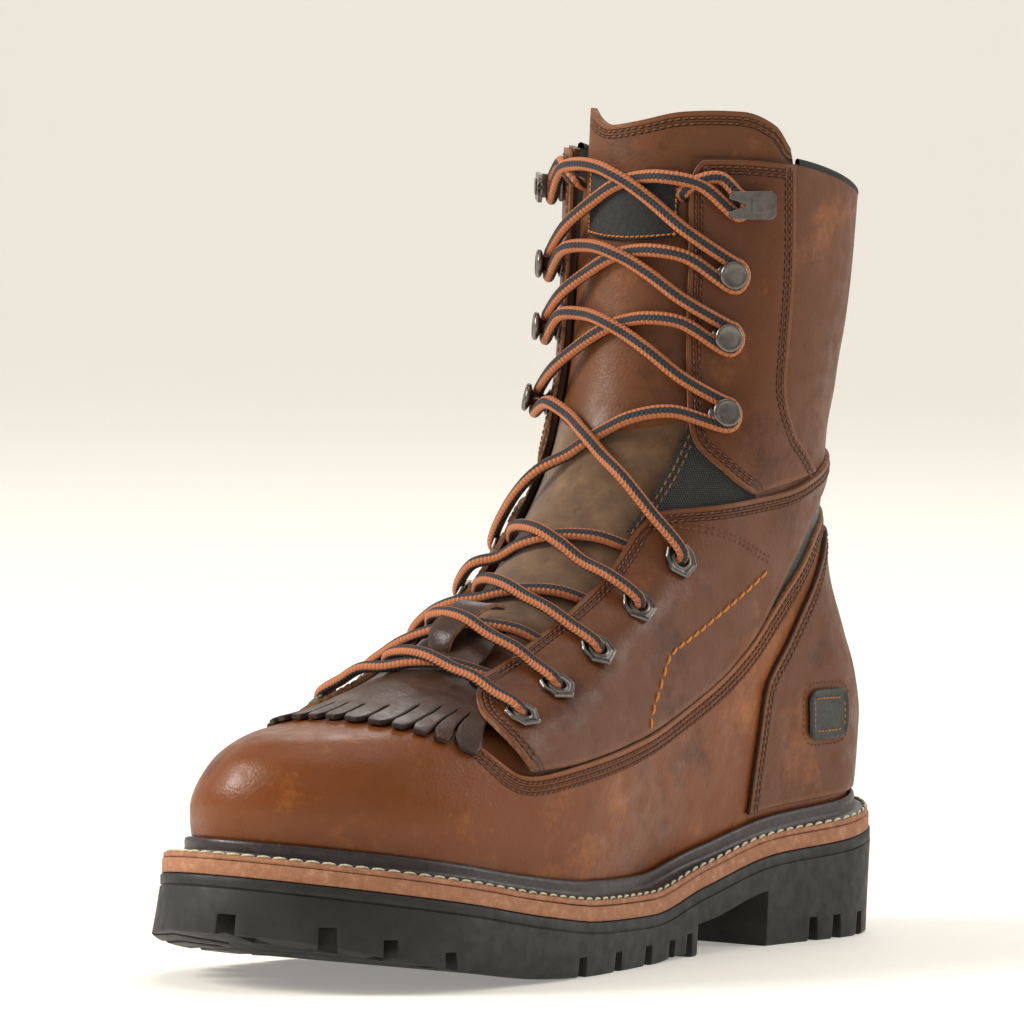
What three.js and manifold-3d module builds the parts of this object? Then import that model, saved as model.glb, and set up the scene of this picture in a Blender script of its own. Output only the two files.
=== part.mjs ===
// Left work boot, eight inches tall, with a welted lug sole, hooks and eyelets.
// Millimetres. +X is the outer (lateral) side, -Y the toe, +Y the heel, +Z up.
// The floor is z = 0 and the origin lies on it, under the middle of the outsole.
import * as THREE from "three";
import { mergeVertices } from "three/addons/utils/BufferGeometryUtils.js";
import Module from "manifold-3d";

const wasm = await Module();
wasm.setup();

// Driving sizes of the sole
const LENGTH = 319;
const BALL_WIDTH = 109;
const FORE_RUBBER = 16;
const HEEL_LIFT = 16;
const TOE_SPRING = 20;
const TOE_SWING = 11.5;
const LUG_DEPTH = 6.5;
const HEEL_LUG_DEPTH = 8;
const NOTCH_WIDTH = 5.6;
const NOTCH_PITCH = 19;
const NOTCH_REACH = 17;
const HEEL_BREAST = 76;
const SHANK_LENGTH = 49;
const HEEL_DRAFT = 0.8;
const TOE_FLARE = 2.4;
const MIDSOLE = 4.7;
const MIDSOLE_INSET = 0.4;
const WELT = 3;
const WELT_SLOPE = 1.4;
const RIDGE_HEIGHT = 4.5;
const RIDGE_THICK = 2;
const INSOLE = 6.5;

// Driving sizes of the upper
const SHAFT_FRONT = 257;
const SHAFT_BACK = 243;
const SHAFT_WIDTH = 93;
const WALL = 1.7;
const VAMP = 2;
const PANEL = 1.3;
const COUNTER = 1.4;
const TONGUE = 2.5;
const KILTIE = 1.8;
const PATCH = 0.8;
const FLAP_RISE = 4.3;
const COLLAR_CROWN = 6;
const INNER_RISE = 4;

// Hardware and lace
const EYELET_ACROSS = 11.5;
const EYELET_HOLE = 5;
const EYELET_RIM = 1;
const EYELET_BARREL = 0.7;
const HOOK_NECK = 4;
const HOOK_FACE = 9.5;
const HOOK_REACH = 8.5;
const CINCH_LENGTH = 16;
const CINCH_WIDTH = 10;
const CINCH_PLATE = 1.4;
const LACE = 4.2;

// Clearances between pieces that meet
const GAP = 0.3;
const CURVED_GAP = 0.4;
const FEATHER_GAP = 0.6;

// A table has named columns and a row for each section.
// Outsole outline from the heel (0) to the toe (1). The half widths are shares of the ball
// width, heel and arch are shares of the heel's lift, spring and roll of the toe spring.
const SOLE = {
  columns: ["at", "lateral", "medial", "heel", "spring", "roll", "arch"],
  rows: [
    [0.00, 0.367, 0.362, 1.34, 0.00, 0.00, 0.76],
    [0.13, 0.367, 0.362, 1.03, 0.00, 0.00, 0.76],
    [0.25, 0.350, 0.348, 0.87, 0.00, 0.00, 0.75],
    [0.38, 0.370, 0.303, 0.40, 0.00, 0.12, 0.14],
    [0.50, 0.427, 0.322, 0.00, 0.00, 0.00, 0.00],
    [0.62, 0.490, 0.404, 0.00, 0.05, 0.00, 0.00],
    [0.72, 0.524, 0.470, 0.00, 0.24, 0.06, 0.00],
    [0.82, 0.526, 0.478, 0.00, 0.52, 0.25, 0.00],
    [1.00, 0.476, 0.418, 0.00, 1.00, 0.90, 0.00],
  ],
};

// Side view of the upper, level by level. Front and back are the ends of a level, as shares
// of the length from the middle, and their rises are shares of the shaft's height over the
// feather. The rounds are the shares of a level that its front and back ends take.
const PROFILE = {
  columns: ["up", "front", "frontRise", "back", "backRise", "frontRound", "backRound"],
  rows: [
    [0.00, -0.465, 0.000, 0.467, 0.000, 0.20, 0.110],
    [0.08, -0.473, 0.061, 0.473, 0.061, 0.20, 0.115],
    [0.17, -0.460, 0.118, 0.475, 0.141, 0.22, 0.12],
    [0.25, -0.428, 0.155, 0.460, 0.217, 0.26, 0.125],
    [0.33, -0.352, 0.172, 0.438, 0.293, 0.32, 0.15],
    [0.42, -0.258, 0.208, 0.419, 0.384, 0.40, 0.20],
    [0.52, -0.148, 0.289, 0.412, 0.485, 0.44, 0.28],
    [0.62, -0.035, 0.402, 0.415, 0.586, 0.48, 0.38],
    [0.72, 0.050, 0.533, 0.423, 0.687, 0.50, 0.46],
    [0.81, 0.094, 0.673, 0.434, 0.788, 0.50, 0.50],
    [0.91, 0.110, 0.836, 0.445, 0.899, 0.50, 0.50],
    [1.00, 0.116, 1.000, 0.453, 1.000, 0.50, 0.50],
  ],
};

// Half widths of each level at the toe, ball, waist and heel, on both sides, as shares of
// the ball width below and of the shaft width above.
const GIRTH = {
  columns: ["up", "toeOut", "ballOut", "waistOut", "heelOut", "toeIn", "ballIn", "waistIn", "heelIn"],
  rows: [
    [0.00, 0.405, 0.412, 0.285, 0.288, 0.365, 0.350, 0.225, 0.278],
    [0.08, 0.412, 0.435, 0.320, 0.300, 0.375, 0.378, 0.270, 0.295],
    [0.17, 0.392, 0.440, 0.345, 0.310, 0.358, 0.378, 0.300, 0.303],
    [0.25, 0.350, 0.425, 0.355, 0.325, 0.305, 0.348, 0.310, 0.315],
    [0.33, 0.303, 0.400, 0.358, 0.333, 0.258, 0.325, 0.318, 0.328],
    [0.42, 0.282, 0.375, 0.364, 0.337, 0.245, 0.318, 0.335, 0.348],
    [0.52, 0.303, 0.378, 0.392, 0.378, 0.270, 0.342, 0.375, 0.387],
    [0.62, 0.345, 0.410, 0.440, 0.442, 0.335, 0.400, 0.430, 0.432],
    [0.72, 0.390, 0.450, 0.472, 0.475, 0.380, 0.442, 0.466, 0.468],
    [0.81, 0.415, 0.470, 0.488, 0.490, 0.405, 0.465, 0.482, 0.484],
    [0.91, 0.440, 0.495, 0.502, 0.500, 0.430, 0.485, 0.496, 0.494],
    [1.00, 0.450, 0.500, 0.506, 0.503, 0.440, 0.495, 0.500, 0.500],
  ],
};
const STATIONS = [0, 0.12, 0.33, 0.60, 0.85, 1];
const SHAFT_STARTS = 0.35;
const SHAFT_ENDS = 0.70;
const SWING_STARTS = 0.6;
const SWING_ENDS_UP = 0.6;
const SEAT_FADES_UP = 0.4;

// Panel edges. Around runs from the front centre line (0) to the back (1), and up from the
// feather (0) to the collar (1).
const VAMP_EDGE = {
  columns: ["around", "up"],
  rows: [
    [0.00, 0.415], [0.15, 0.395], [0.25, 0.290], [0.34, 0.180], [0.39, 0.196], [0.49, 0.230],
    [0.55, 0.272], [0.61, 0.344], [0.65, 0.414], [0.69, 0.474], [0.74, 0.526], [0.85, 0.545],
    [1.00, 0.550],
  ],
};
const QUARTER = {
  columns: ["edge", "edgeUp", "ridge"],
  rows: [
    [0.208, 0.418, 0.335], [0.222, 0.482, 0.40], [0.246, 0.532, 0.47], [0.260, 0.588, 0.54],
    [0.258, 0.634, 0.60], [0.285, 0.657, 0.65], [0.360, 0.651, 0.69], [0.475, 0.640, 0.735],
    [0.600, 0.628, 0.80], [0.750, 0.638, 0.88], [0.990, 0.648, 0.99],
  ],
};
const SHAFT_PANEL = {
  columns: ["from", "fromUp", "to", "toUp"],
  rows: [
    [0.47, 0.648, 0.65, 0.640], [0.37, 0.695, 0.57, 0.690], [0.275, 0.745, 0.505, 0.728],
    [0.240, 0.785, 0.445, 0.785], [0.210, 0.855, 0.428, 0.855], [0.198, 0.930, 0.416, 0.930],
    [0.190, 0.998, 0.406, 0.998],
  ],
};
const COUNTER_EDGE = {
  columns: ["up", "around"],
  rows: [[0.04, 0.647], [0.17, 0.646], [0.27, 0.653], [0.36, 0.687], [0.44, 0.735], [0.50, 0.765]],
};
const COUNTER_TOP = 0.51;
const BACKSTAY_WIDTH = 13;
const BACKSTAY_FOOT = 0.665;
const TONGUE_ROWS = {
  squareness: 8,
  columns: ["from", "fromUp", "to", "toUp", "crown"],
  rows: [
    [-0.20, 0.36, 0.20, 0.36, 0], [-0.27, 0.45, 0.27, 0.45, 0], [-0.32, 0.55, 0.32, 0.55, 0],
    [-0.33, 0.66, 0.33, 0.66, 0], [-0.30, 0.78, 0.34, 0.78, 0], [-0.24, 0.90, 0.38, 0.90, 0],
    [-0.15, 0.995, 0.42, 0.99, 0], [-0.135, 1.012, 0.41, 1.022, 0.022],
  ],
};
// The kiltie's side edges from its fringe back to its root under the lace.
const KILTIE_EDGE = {
  columns: ["inner", "innerUp", "outer", "outerUp"],
  rows: [
    [-0.255, 0.28, 0.282, 0.28], [-0.235, 0.36, 0.25, 0.36], [-0.17, 0.44, 0.17, 0.44],
    [-0.13, 0.53, 0.14, 0.53],
  ],
};
const FRINGE = {
  inner: -0.28,
  outer: 0.28,
  endUp: 0.208,
  bow: 0.132,
  depth: 0.07,
  fingers: 10,
  slit: 0.16,
};
const TONGUE_PATCH = {
  columns: ["from", "fromUp", "to", "toUp"],
  rows: [[-0.115, 0.934, 0.172, 0.934], [-0.115, 0.962, 0.172, 0.962], [-0.115, 0.99, 0.172, 0.99]],
};
const HEEL_TAB = [[0.719, 0.154], [0.791, 0.150], [0.791, 0.240], [0.716, 0.247]];
// The throat, seen square to the instep. Along and half are shares of the length.
const THROAT = {
  columns: ["along", "half"],
  rows: [
    [0.045, 0.020], [0.06, 0.045], [0.085, 0.060], [0.16, 0.070], [0.22, 0.078], [0.29, 0.084],
    [0.37, 0.087], [0.45, 0.088], [0.50, 0.084], [0.55, 0.079], [0.72, 0.076],
  ],
};
const THROAT_DEPTH = 0.2;
const EYELETS = {
  columns: ["around", "up"],
  rows: [[0.315, 0.283], [0.330, 0.355], [0.346, 0.435], [0.361, 0.513], [0.382, 0.577]],
};
// Places of the hooks on the outer and on the inner side of the throat.
const HOOKS = {
  columns: ["outer", "outerUp", "inner", "innerUp"],
  rows: [
    [0.318, 0.760, 0.275, 0.770], [0.290, 0.837, 0.255, 0.841], [0.285, 0.896, 0.252, 0.898],
    [0.308, 0.958, 0.295, 0.962],
  ],
};
const TOP_HOOK = 3;

// Curves through the tables
function monotone(xs, ys, at) {
  const last = xs.length - 1;
  const x = Math.min(Math.max(at, xs[0]), xs[last]);
  let k = 0;
  while (k < last - 1 && x > xs[k + 1]) k += 1;
  const slope = (i) => (ys[i + 1] - ys[i]) / (xs[i + 1] - xs[i]);
  const tangent = (i) => {
    if (i === 0) return slope(0);
    if (i === last) return slope(last - 1);
    const before = slope(i - 1);
    const after = slope(i);
    if (before * after <= 0) return 0;
    const left = xs[i] - xs[i - 1];
    const right = xs[i + 1] - xs[i];
    const heavy = 2 * right + left;
    const light = right + 2 * left;
    return (heavy + light) / (heavy / before + light / after);
  };
  const span = xs[k + 1] - xs[k];
  const t = (x - xs[k]) / span;
  const rest = 1 - t;
  return (1 + 2 * t) * rest * rest * ys[k] + t * rest * rest * span * tangent(k)
    + t * t * (3 - 2 * t) * ys[k + 1] - t * t * rest * span * tangent(k + 1);
}

function column(table, name) {
  const index = table.columns.indexOf(name);
  return table.rows.map((row) => row[index]);
}

function reader(table) {
  const xs = column(table, table.columns[0]);
  const values = Object.fromEntries(table.columns.map((name) => [name, column(table, name)]));
  return (name, at) => monotone(xs, values[name], at);
}

const sole = reader(SOLE);
const profile = reader(PROFILE);
const girth = reader(GIRTH);
const clamp = THREE.MathUtils.clamp;
const mix = THREE.MathUtils.lerp;
const smooth = (x, from, to) => THREE.MathUtils.smoothstep(x, from, to);
const fixed = (value) => () => value;

// The sole's outline and heights
const HEEL_ROUND = 0.125;
const TOE_ROUND = 0.19;
const TOE_SQUARENESS = 2.25;
const SWING_BEND = 1.5;
const share = (y) => 0.5 - y / LENGTH;
const swing = (y) => {
  const forward = Math.max(share(y) - SWING_STARTS, 0) / (1 - SWING_STARTS);
  return -TOE_SWING * Math.pow(forward, SWING_BEND);
};
const rubberTop = (y) => {
  return FORE_RUBBER + sole("heel", share(y)) * HEEL_LIFT + sole("spring", share(y)) * TOE_SPRING;
};
const tread = (y) => sole("roll", share(y)) * TOE_SPRING;
const web = (y) => LUG_DEPTH + tread(y) + sole("arch", share(y)) * HEEL_LIFT;
const seat = (y) => rubberTop(y) + GAP + MIDSOLE + CURVED_GAP;
const feather = (y) => seat(y) + WELT + FEATHER_GAP;

function ends(at) {
  if (at < HEEL_ROUND) return Math.sqrt(Math.max(0, 1 - Math.pow(1 - at / HEEL_ROUND, 2)));
  const over = (at - 1 + TOE_ROUND) / TOE_ROUND;
  return over > 0 ? Math.sqrt(Math.max(0, 1 - Math.pow(over, TOE_SQUARENESS))) : 1;
}

function soleEdge(at, side, inset) {
  const half = sole(side > 0 ? "lateral" : "medial", at) * BALL_WIDTH - inset;
  const x = swing(LENGTH * (0.5 - at)) + side * half * ends(at);
  return new THREE.Vector2(x, (LENGTH - 2 * inset) * (0.5 - at));
}

// The upper's surface: around 0 is the toe side, 1 the back, 2 the toe side again by the
// inner side. Lift stands off the surface, outwards.
const TOE_Y = PROFILE.rows[0][1] * LENGTH;
const HEEL_Y = PROFILE.rows[0][3] * LENGTH;

function levelWidth(up, side, along) {
  const ending = side > 0 ? "Out" : "In";
  const names = ["toe", "ball", "waist", "heel"].map((name) => name + ending);
  const [toe, ball, waist, heel] = names.map((name) => girth(name, up));
  const full = mix(BALL_WIDTH, SHAFT_WIDTH, smooth(up, SHAFT_STARTS, SHAFT_ENDS));
  return full * monotone(STATIONS, [toe * 0.97, toe, ball, waist, heel, heel * 0.98], along);
}

function surface(around, up) {
  const turn = ((around % 2) + 2) % 2;
  const side = turn <= 1 ? 1 : -1;
  const along = 0.5 - 0.5 * Math.cos(Math.PI * turn);
  const front = profile("front", up) * LENGTH;
  const back = profile("back", up) * LENGTH;
  const y = mix(front, back, along);
  const frontRound = clamp(1 - along / profile("frontRound", up), 0, 1);
  const backRound = clamp(1 - (1 - along) / profile("backRound", up), 0, 1);
  const squareness = 2.25 - 0.25 * clamp(up / SEAT_FADES_UP, 0, 1);
  const rounded = Math.sqrt(Math.max(0, 1 - Math.pow(frontRound, squareness)))
    * Math.sqrt(Math.max(0, 1 - backRound * backRound));
  const x = swing(y) * clamp(1 - up / SWING_ENDS_UP, 0, 1) + side * levelWidth(up, side, along) * rounded;
  const frontZ = mix(feather(TOE_Y), SHAFT_FRONT, profile("frontRise", up));
  const backZ = mix(feather(HEEL_Y), SHAFT_BACK, profile("backRise", up));
  const chord = mix(feather(TOE_Y), feather(HEEL_Y), (y - TOE_Y) / (HEEL_Y - TOE_Y));
  const fade = Math.pow(clamp(1 - up / SEAT_FADES_UP, 0, 1), 1.5);
  const high = smooth(up, SHAFT_ENDS, 1);
  const crown = COLLAR_CROWN * 6.75 * along * (1 - along) * (1 - along);
  const tilt = INNER_RISE * (0.5 - x / SHAFT_WIDTH);
  const z = mix(frontZ, backZ, along) + (feather(y) - chord) * fade + (crown + tilt) * high;
  return new THREE.Vector3(x, y, z);
}

const STEP = 1e-3;
function beyond(around, up) {
  if (up <= 1) return surface(around, up);
  const top = surface(around, 1);
  const below = surface(around, 1 - STEP);
  return top.clone().addScaledVector(top.clone().sub(below), (up - 1) / STEP);
}

function outward(around, up) {
  const level = clamp(up, STEP, 1 - STEP);
  const across = surface(around + STEP, level).sub(surface(around - STEP, level));
  const rising = surface(around, level + STEP).sub(surface(around, level - STEP));
  return across.cross(rising).normalize();
}

function last(around, up, lift = 0) {
  return beyond(around, up).addScaledVector(outward(around, up), lift);
}

// Solids
function closed(points, triangles) {
  const geometry = new THREE.BufferGeometry();
  geometry.setAttribute("position", new THREE.Float32BufferAttribute(points.flatMap((p) => p.toArray()), 3));
  geometry.setIndex(triangles);
  return solid(geometry);
}

function solid(geometry) {
  const bare = geometry.clone();
  bare.deleteAttribute("normal");
  bare.deleteAttribute("uv");
  const merged = mergeVertices(bare, 1e-3);
  const index = merged.index.array;
  const kept = [];
  for (let i = 0; i < index.length; i += 3) {
    const [a, b, c] = [index[i], index[i + 1], index[i + 2]];
    if (a !== b && b !== c && c !== a) kept.push(a, b, c);
  }
  const vertProperties = new Float32Array(merged.attributes.position.array);
  return new wasm.Manifold(new wasm.Mesh({ numProp: 3, vertProperties, triVerts: new Uint32Array(kept) }));
}

function geometryOf(manifold) {
  const mesh = manifold.getMesh();
  const geometry = new THREE.BufferGeometry();
  geometry.setAttribute("position", new THREE.Float32BufferAttribute(mesh.vertProperties, 3));
  geometry.setIndex(Array.from(mesh.triVerts));
  geometry.computeVertexNormals();
  return geometry;
}

// A loft joins rings of the same count. Rings that have shrunk to a line need no cap.
function loft(rings, wraps = false) {
  const count = rings[0].length;
  const triangles = [];
  const spans = wraps ? rings.length : rings.length - 1;
  for (let i = 0; i < spans; i += 1) {
    const next = (i + 1) % rings.length;
    for (let j = 0; j < count; j += 1) {
      const k = (j + 1) % count;
      const [a, b, c, d] = [i * count + j, i * count + k, next * count + k, next * count + j];
      triangles.push(a, b, c, a, c, d);
    }
  }
  return closed(rings.flat(), triangles);
}

// A shell has an outer and an inner face over one grid, and rims that close it.
function shell(across, along, outer, inner, wraps = false) {
  const points = [];
  const columns = wraps ? across : across + 1;
  for (const face of [outer, inner]) {
    for (let i = 0; i < columns; i += 1) {
      for (let j = 0; j <= along; j += 1) points.push(face(i / across, j / along));
    }
  }
  const half = columns * (along + 1);
  const at = (i, j, deep) => (i % columns) * (along + 1) + j + (deep ? half : 0);
  const triangles = [];
  const quad = (a, b, c, d) => triangles.push(a, b, c, a, c, d);
  for (let i = 0; i < across; i += 1) {
    for (let j = 0; j < along; j += 1) {
      quad(at(i, j), at(i + 1, j), at(i + 1, j + 1), at(i, j + 1));
      quad(at(i, j, 1), at(i, j + 1, 1), at(i + 1, j + 1, 1), at(i + 1, j, 1));
    }
    quad(at(i, 0, 1), at(i + 1, 0, 1), at(i + 1, 0), at(i, 0));
    quad(at(i, along), at(i + 1, along), at(i + 1, along, 1), at(i, along, 1));
  }
  for (let j = 0; j < along && !wraps; j += 1) {
    quad(at(0, j), at(0, j + 1), at(0, j + 1, 1), at(0, j, 1));
    quad(at(across, j, 1), at(across, j + 1, 1), at(across, j + 1), at(across, j));
  }
  return closed(points, triangles);
}

// A patch is a shell over rows that run from one edge of a panel to the other.
function patch(table, across, along, lifts, side = 1) {
  const values = Object.fromEntries(table.columns.map((name) => [name, column(table, name)]));
  const places = table.rows.map((row, i) => i / (table.rows.length - 1));
  const value = (name, v) => (values[name] ? monotone(places, values[name], v) : 0);
  const face = (lift) => (u, v) => {
    const t = side > 0 ? u : 1 - u;
    const around = mix(value("from", v), value("to", v), t);
    const crown = value("crown", v) * (1 - Math.pow(2 * t - 1, table.squareness || 2));
    const up = mix(value("fromUp", v), value("toUp", v), t) + crown;
    return last(side * around, up, lift(around, up));
  };
  return shell(across, along, face(lifts[1]), face(lifts[0]));
}

// A prism along an axis, from one place to another. The outline is seen down that axis.
function prism(outline, from, to, right, upward) {
  const shape = new THREE.Shape(outline.map(([a, b]) => new THREE.Vector2(a, b)));
  const geometry = new THREE.ExtrudeGeometry(shape, { depth: to - from, bevelEnabled: false, steps: 1 });
  const away = right.clone().cross(upward);
  const frame = new THREE.Matrix4().makeBasis(right, upward, away);
  frame.setPosition(away.clone().multiplyScalar(from));
  return solid(geometry.applyMatrix4(frame));
}

const X = new THREE.Vector3(1, 0, 0);
const Y = new THREE.Vector3(0, 1, 0);
const Z = new THREE.Vector3(0, 0, 1);

// Facets of the large forms
const AROUND_SPANS = 30;
const UP_SPANS = 12;
const SOLE_SPANS = 24;

// Sole pieces
function slab(top, bottom, insetTop, insetBottom) {
  const rings = [];
  for (let i = 0; i <= SOLE_SPANS; i += 1) {
    const at = 0.5 - 0.5 * Math.cos((Math.PI * i) / SOLE_SPANS);
    const y = LENGTH * (0.5 - at);
    const corner = (side, inset, z) => {
      const edge = soleEdge(at, side, inset(y));
      return new THREE.Vector3(edge.x, edge.y, z(y));
    };
    rings.push([
      corner(1, insetTop, top), corner(-1, insetTop, top),
      corner(-1, insetBottom, bottom), corner(1, insetBottom, bottom),
    ]);
  }
  return loft(rings);
}

function block(yFrom, yTo) {
  const reach = BALL_WIDTH;
  const outline = [[-reach, yFrom], [reach, yFrom], [reach, yTo], [-reach, yTo]];
  return prism(outline, -reach, reach, X, Y);
}

// Notches and channels of the tread. Every second notch is shorter and lower.
const NOTCH_LEAN = 0.6;
const SHORT_REACH = 0.8;
const SHORT_HEIGHT = 0.75;
const NOTCHES_END = 0.43;
const HEEL_NOTCHES = 3;
const CHANNEL_PLACE = 0.16;
const CHANNEL_REACH = 0.36;
const CHANNEL_DEPTH = 0.75;

// A notch in the tread's edge, which leans towards the heel as it goes in.
function notch(y, side, reach, width, height) {
  const at = share(y);
  const edge = soleEdge(at, side, 0).x;
  const lean = width * NOTCH_LEAN;
  const outer = edge + side * NOTCH_REACH;
  const inner = edge - side * reach;
  const outline = [
    [outer, y - width / 2], [outer, y + width / 2],
    [inner, y + lean + width / 2], [inner, y + lean - width / 2],
  ];
  if (side > 0) outline.reverse();
  return prism(outline, -height, height + tread(y), X, Y);
}

function outsole() {
  const drafted = (y) => mix(HEEL_DRAFT, -TOE_FLARE, smooth(share(y), SWING_STARTS, 1));
  const blockEnd = HEEL_BREAST - SHANK_LENGTH + NOTCH_WIDTH;
  const body = slab(rubberTop, web, fixed(0), drafted);
  const inWeb = (y) => web(y) + GAP;
  const heel = slab(inWeb, fixed(0), drafted, drafted).intersect(block(HEEL_BREAST, LENGTH));
  const fore = slab(inWeb, tread, drafted, drafted).intersect(block(-LENGTH, blockEnd));
  const cuts = [];
  const toeEnd = -LENGTH * NOTCHES_END;
  let short = false;
  for (let y = blockEnd - NOTCH_PITCH * NOTCH_LEAN; y > toeEnd; y -= NOTCH_PITCH) {
    for (const side of [1, -1]) {
      const reach = short ? NOTCH_REACH * SHORT_REACH : NOTCH_REACH;
      const height = short ? LUG_DEPTH * SHORT_HEIGHT : LUG_DEPTH;
      cuts.push(notch(y, side, reach, NOTCH_WIDTH, height));
    }
    short = !short;
  }
  const heelPitch = (LENGTH / 2 - HEEL_BREAST) / (HEEL_NOTCHES + 1);
  for (let i = 1; i <= HEEL_NOTCHES; i += 1) {
    const y = HEEL_BREAST + i * heelPitch;
    for (const side of [1, -1]) cuts.push(notch(y, side, NOTCH_REACH, NOTCH_WIDTH, HEEL_LUG_DEPTH));
  }
  const channel = NOTCH_WIDTH / 2;
  for (const side of [1, -1]) {
    const x = side * BALL_WIDTH * CHANNEL_PLACE;
    const front = -LENGTH * CHANNEL_REACH;
    const outline = [[x - channel, front], [x + channel, front], [x + channel, 0], [x - channel, 0]];
    cuts.push(prism(outline, -LUG_DEPTH, LUG_DEPTH * CHANNEL_DEPTH, X, Y));
  }
  const lugs = cuts.reduce((kept, cut) => kept.subtract(cut), heel.add(fore));
  return body.add(lugs);
}

const midsoleInset = fixed(MIDSOLE_INSET);

function midsole() {
  return slab((y) => rubberTop(y) + GAP + MIDSOLE, (y) => rubberTop(y) + GAP, midsoleInset, midsoleInset);
}

// The welt's ledge falls outwards from the storm ridge that stands beside the upper.
function welt() {
  const spans = 2 * SOLE_SPANS;
  const rings = [];
  const rise = (around, height) => {
    const low = last(around, 0).z;
    const step = last(around, 0.03).z - low;
    return (0.03 * height) / step;
  };
  for (let i = 0; i < spans; i += 1) {
    const around = (2 * i) / spans;
    const turn = around <= 1 ? around : 2 - around;
    const at = 0.5 + 0.5 * Math.cos(Math.PI * turn);
    const edge = soleEdge(at, around <= 1 ? 1 : -1, MIDSOLE_INSET * 2);
    const bottom = seat(edge.y);
    const beside = VAMP + FEATHER_GAP;
    const inner = last(around, 0, -WALL - CURVED_GAP * 2);
    const outerFoot = last(around, 0, beside + RIDGE_THICK);
    const tip = rise(around, RIDGE_HEIGHT);
    const innerTip = last(around, tip, beside);
    const outerTip = last(around, tip, beside + RIDGE_THICK * 0.8);
    const innerFoot = last(around, 0, beside);
    const flange = Math.min(last(around, 0, VAMP).z, last(around, 0, -WALL).z) - FEATHER_GAP;
    rings.push([
      new THREE.Vector3(inner.x, inner.y, seat(inner.y)),
      new THREE.Vector3(inner.x, inner.y, flange),
      new THREE.Vector3(innerFoot.x, innerFoot.y, flange),
      innerTip,
      outerTip,
      new THREE.Vector3(outerFoot.x, outerFoot.y, flange),
      new THREE.Vector3(edge.x, edge.y, bottom + WELT - WELT_SLOPE),
      new THREE.Vector3(edge.x, edge.y, bottom),
    ]);
  }
  return loft(rings, true);
}

function insole() {
  const spans = SOLE_SPANS;
  const rings = [];
  for (let i = 0; i <= spans; i += 1) {
    const around = i / spans;
    const wide = (side, height) => {
      const edge = last(side * around, 0, -WALL - CURVED_GAP * 3);
      return new THREE.Vector3(edge.x, edge.y, seat(edge.y) + GAP + height);
    };
    rings.push([wide(1, INSOLE), wide(1, 0), wide(-1, 0), wide(-1, INSOLE)]);
  }
  return loft(rings);
}

// Upper pieces
// A form is a ring between two lifts of the upper's surface. Every form has the same facets,
// so that a panel cut from one keeps an even gap to the next.
function form(under, over) {
  const folded = (u) => (u <= 0.5 ? 2 * u : 2 - 2 * u);
  const face = (lift) => (u, v) => last(2 * u, v, lift(folded(u), v));
  return shell(AROUND_SPANS, UP_SPANS, face(over), face(under), true);
}

const REACH = LENGTH;

// Cuts a form by an outline seen from the side, on one side of the boot or on both.
function sideCut(piece, outline, side) {
  const from = side > 0 ? GAP / 2 : -REACH;
  const to = side < 0 ? -GAP / 2 : REACH;
  return piece.intersect(prism(outline, from, to, Y, Z));
}

function sideOutline(places, lift) {
  return places.map(([around, up]) => last(around, up, lift(around, up))).map((point) => [point.y, point.z]);
}

function panelOutline(rows) {
  const front = rows.map(([from, fromUp]) => [from, fromUp]);
  const rear = rows.map(([, , to, toUp]) => [to, toUp]);
  return [...front, ...rear.reverse()];
}

function throat() {
  const square = new THREE.Vector3(0, -1, 1).normalize();
  const along = new THREE.Vector3(0, 1, 1).normalize();
  const rows = THROAT.rows.map(([at, half]) => [half * LENGTH, at * LENGTH]);
  const outline = [...rows, ...rows.map(([half, at]) => [-half, at]).reverse()];
  return prism(outline, THROAT_DEPTH * LENGTH, LENGTH, X, along, square);
}

function hole(around, up, radius) {
  const centre = last(around, up, 0);
  const geometry = new THREE.CylinderGeometry(radius, radius, EYELET_ACROSS * 2, 6);
  return solid(placed(geometry, centre, outward(around, up)));
}

// Turns a geometry's +Y to a direction and moves it to a place.
function placed(geometry, centre, direction) {
  const turn = new THREE.Quaternion().setFromUnitVectors(Y, direction);
  return geometry.applyQuaternion(turn).translate(centre.x, centre.y, centre.z);
}

const vampEdge = reader(VAMP_EDGE);

function lacePlaces(table) {
  return table.rows.flatMap(([around, up]) => [[around, up], [-around, up]]);
}

function cutEyelets(piece) {
  const radius = EYELET_HOLE / 2 + EYELET_BARREL + GAP;
  return lacePlaces(EYELETS).reduce((kept, [around, up]) => kept.subtract(hole(around, up, radius)), piece);
}

function vampOutline() {
  const edge = sideOutline(VAMP_EDGE.rows, fixed(VAMP));
  const [back, front] = [REACH, -REACH];
  const heel = [[front, 0], [back, 0], [back, edge.at(-1)[1]]];
  const toe = [[edge[0][0], REACH], [front, REACH]];
  return [...heel, ...edge.reverse(), ...toe];
}

function upper() {
  const lining = form(fixed(-WALL), fixed(0));
  const vamp = sideCut(form(fixed(-WALL / 2), fixed(VAMP)), vampOutline(), 0);
  return cutEyelets(lining.add(vamp).subtract(throat()));
}

const FLAP_FADES_UP = [0.44, 0.56];
const FLAP_FADES_AROUND = [0.31, 0.44];

// The flaps are free at their front corners and ride up over the fringed kiltie.
function flapLift(around, up) {
  const low = 1 - smooth(up, ...FLAP_FADES_UP);
  const front = 1 - smooth(around, ...FLAP_FADES_AROUND);
  return FLAP_RISE * low * front;
}

const RIDGE_GAP = 0.006;

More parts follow.
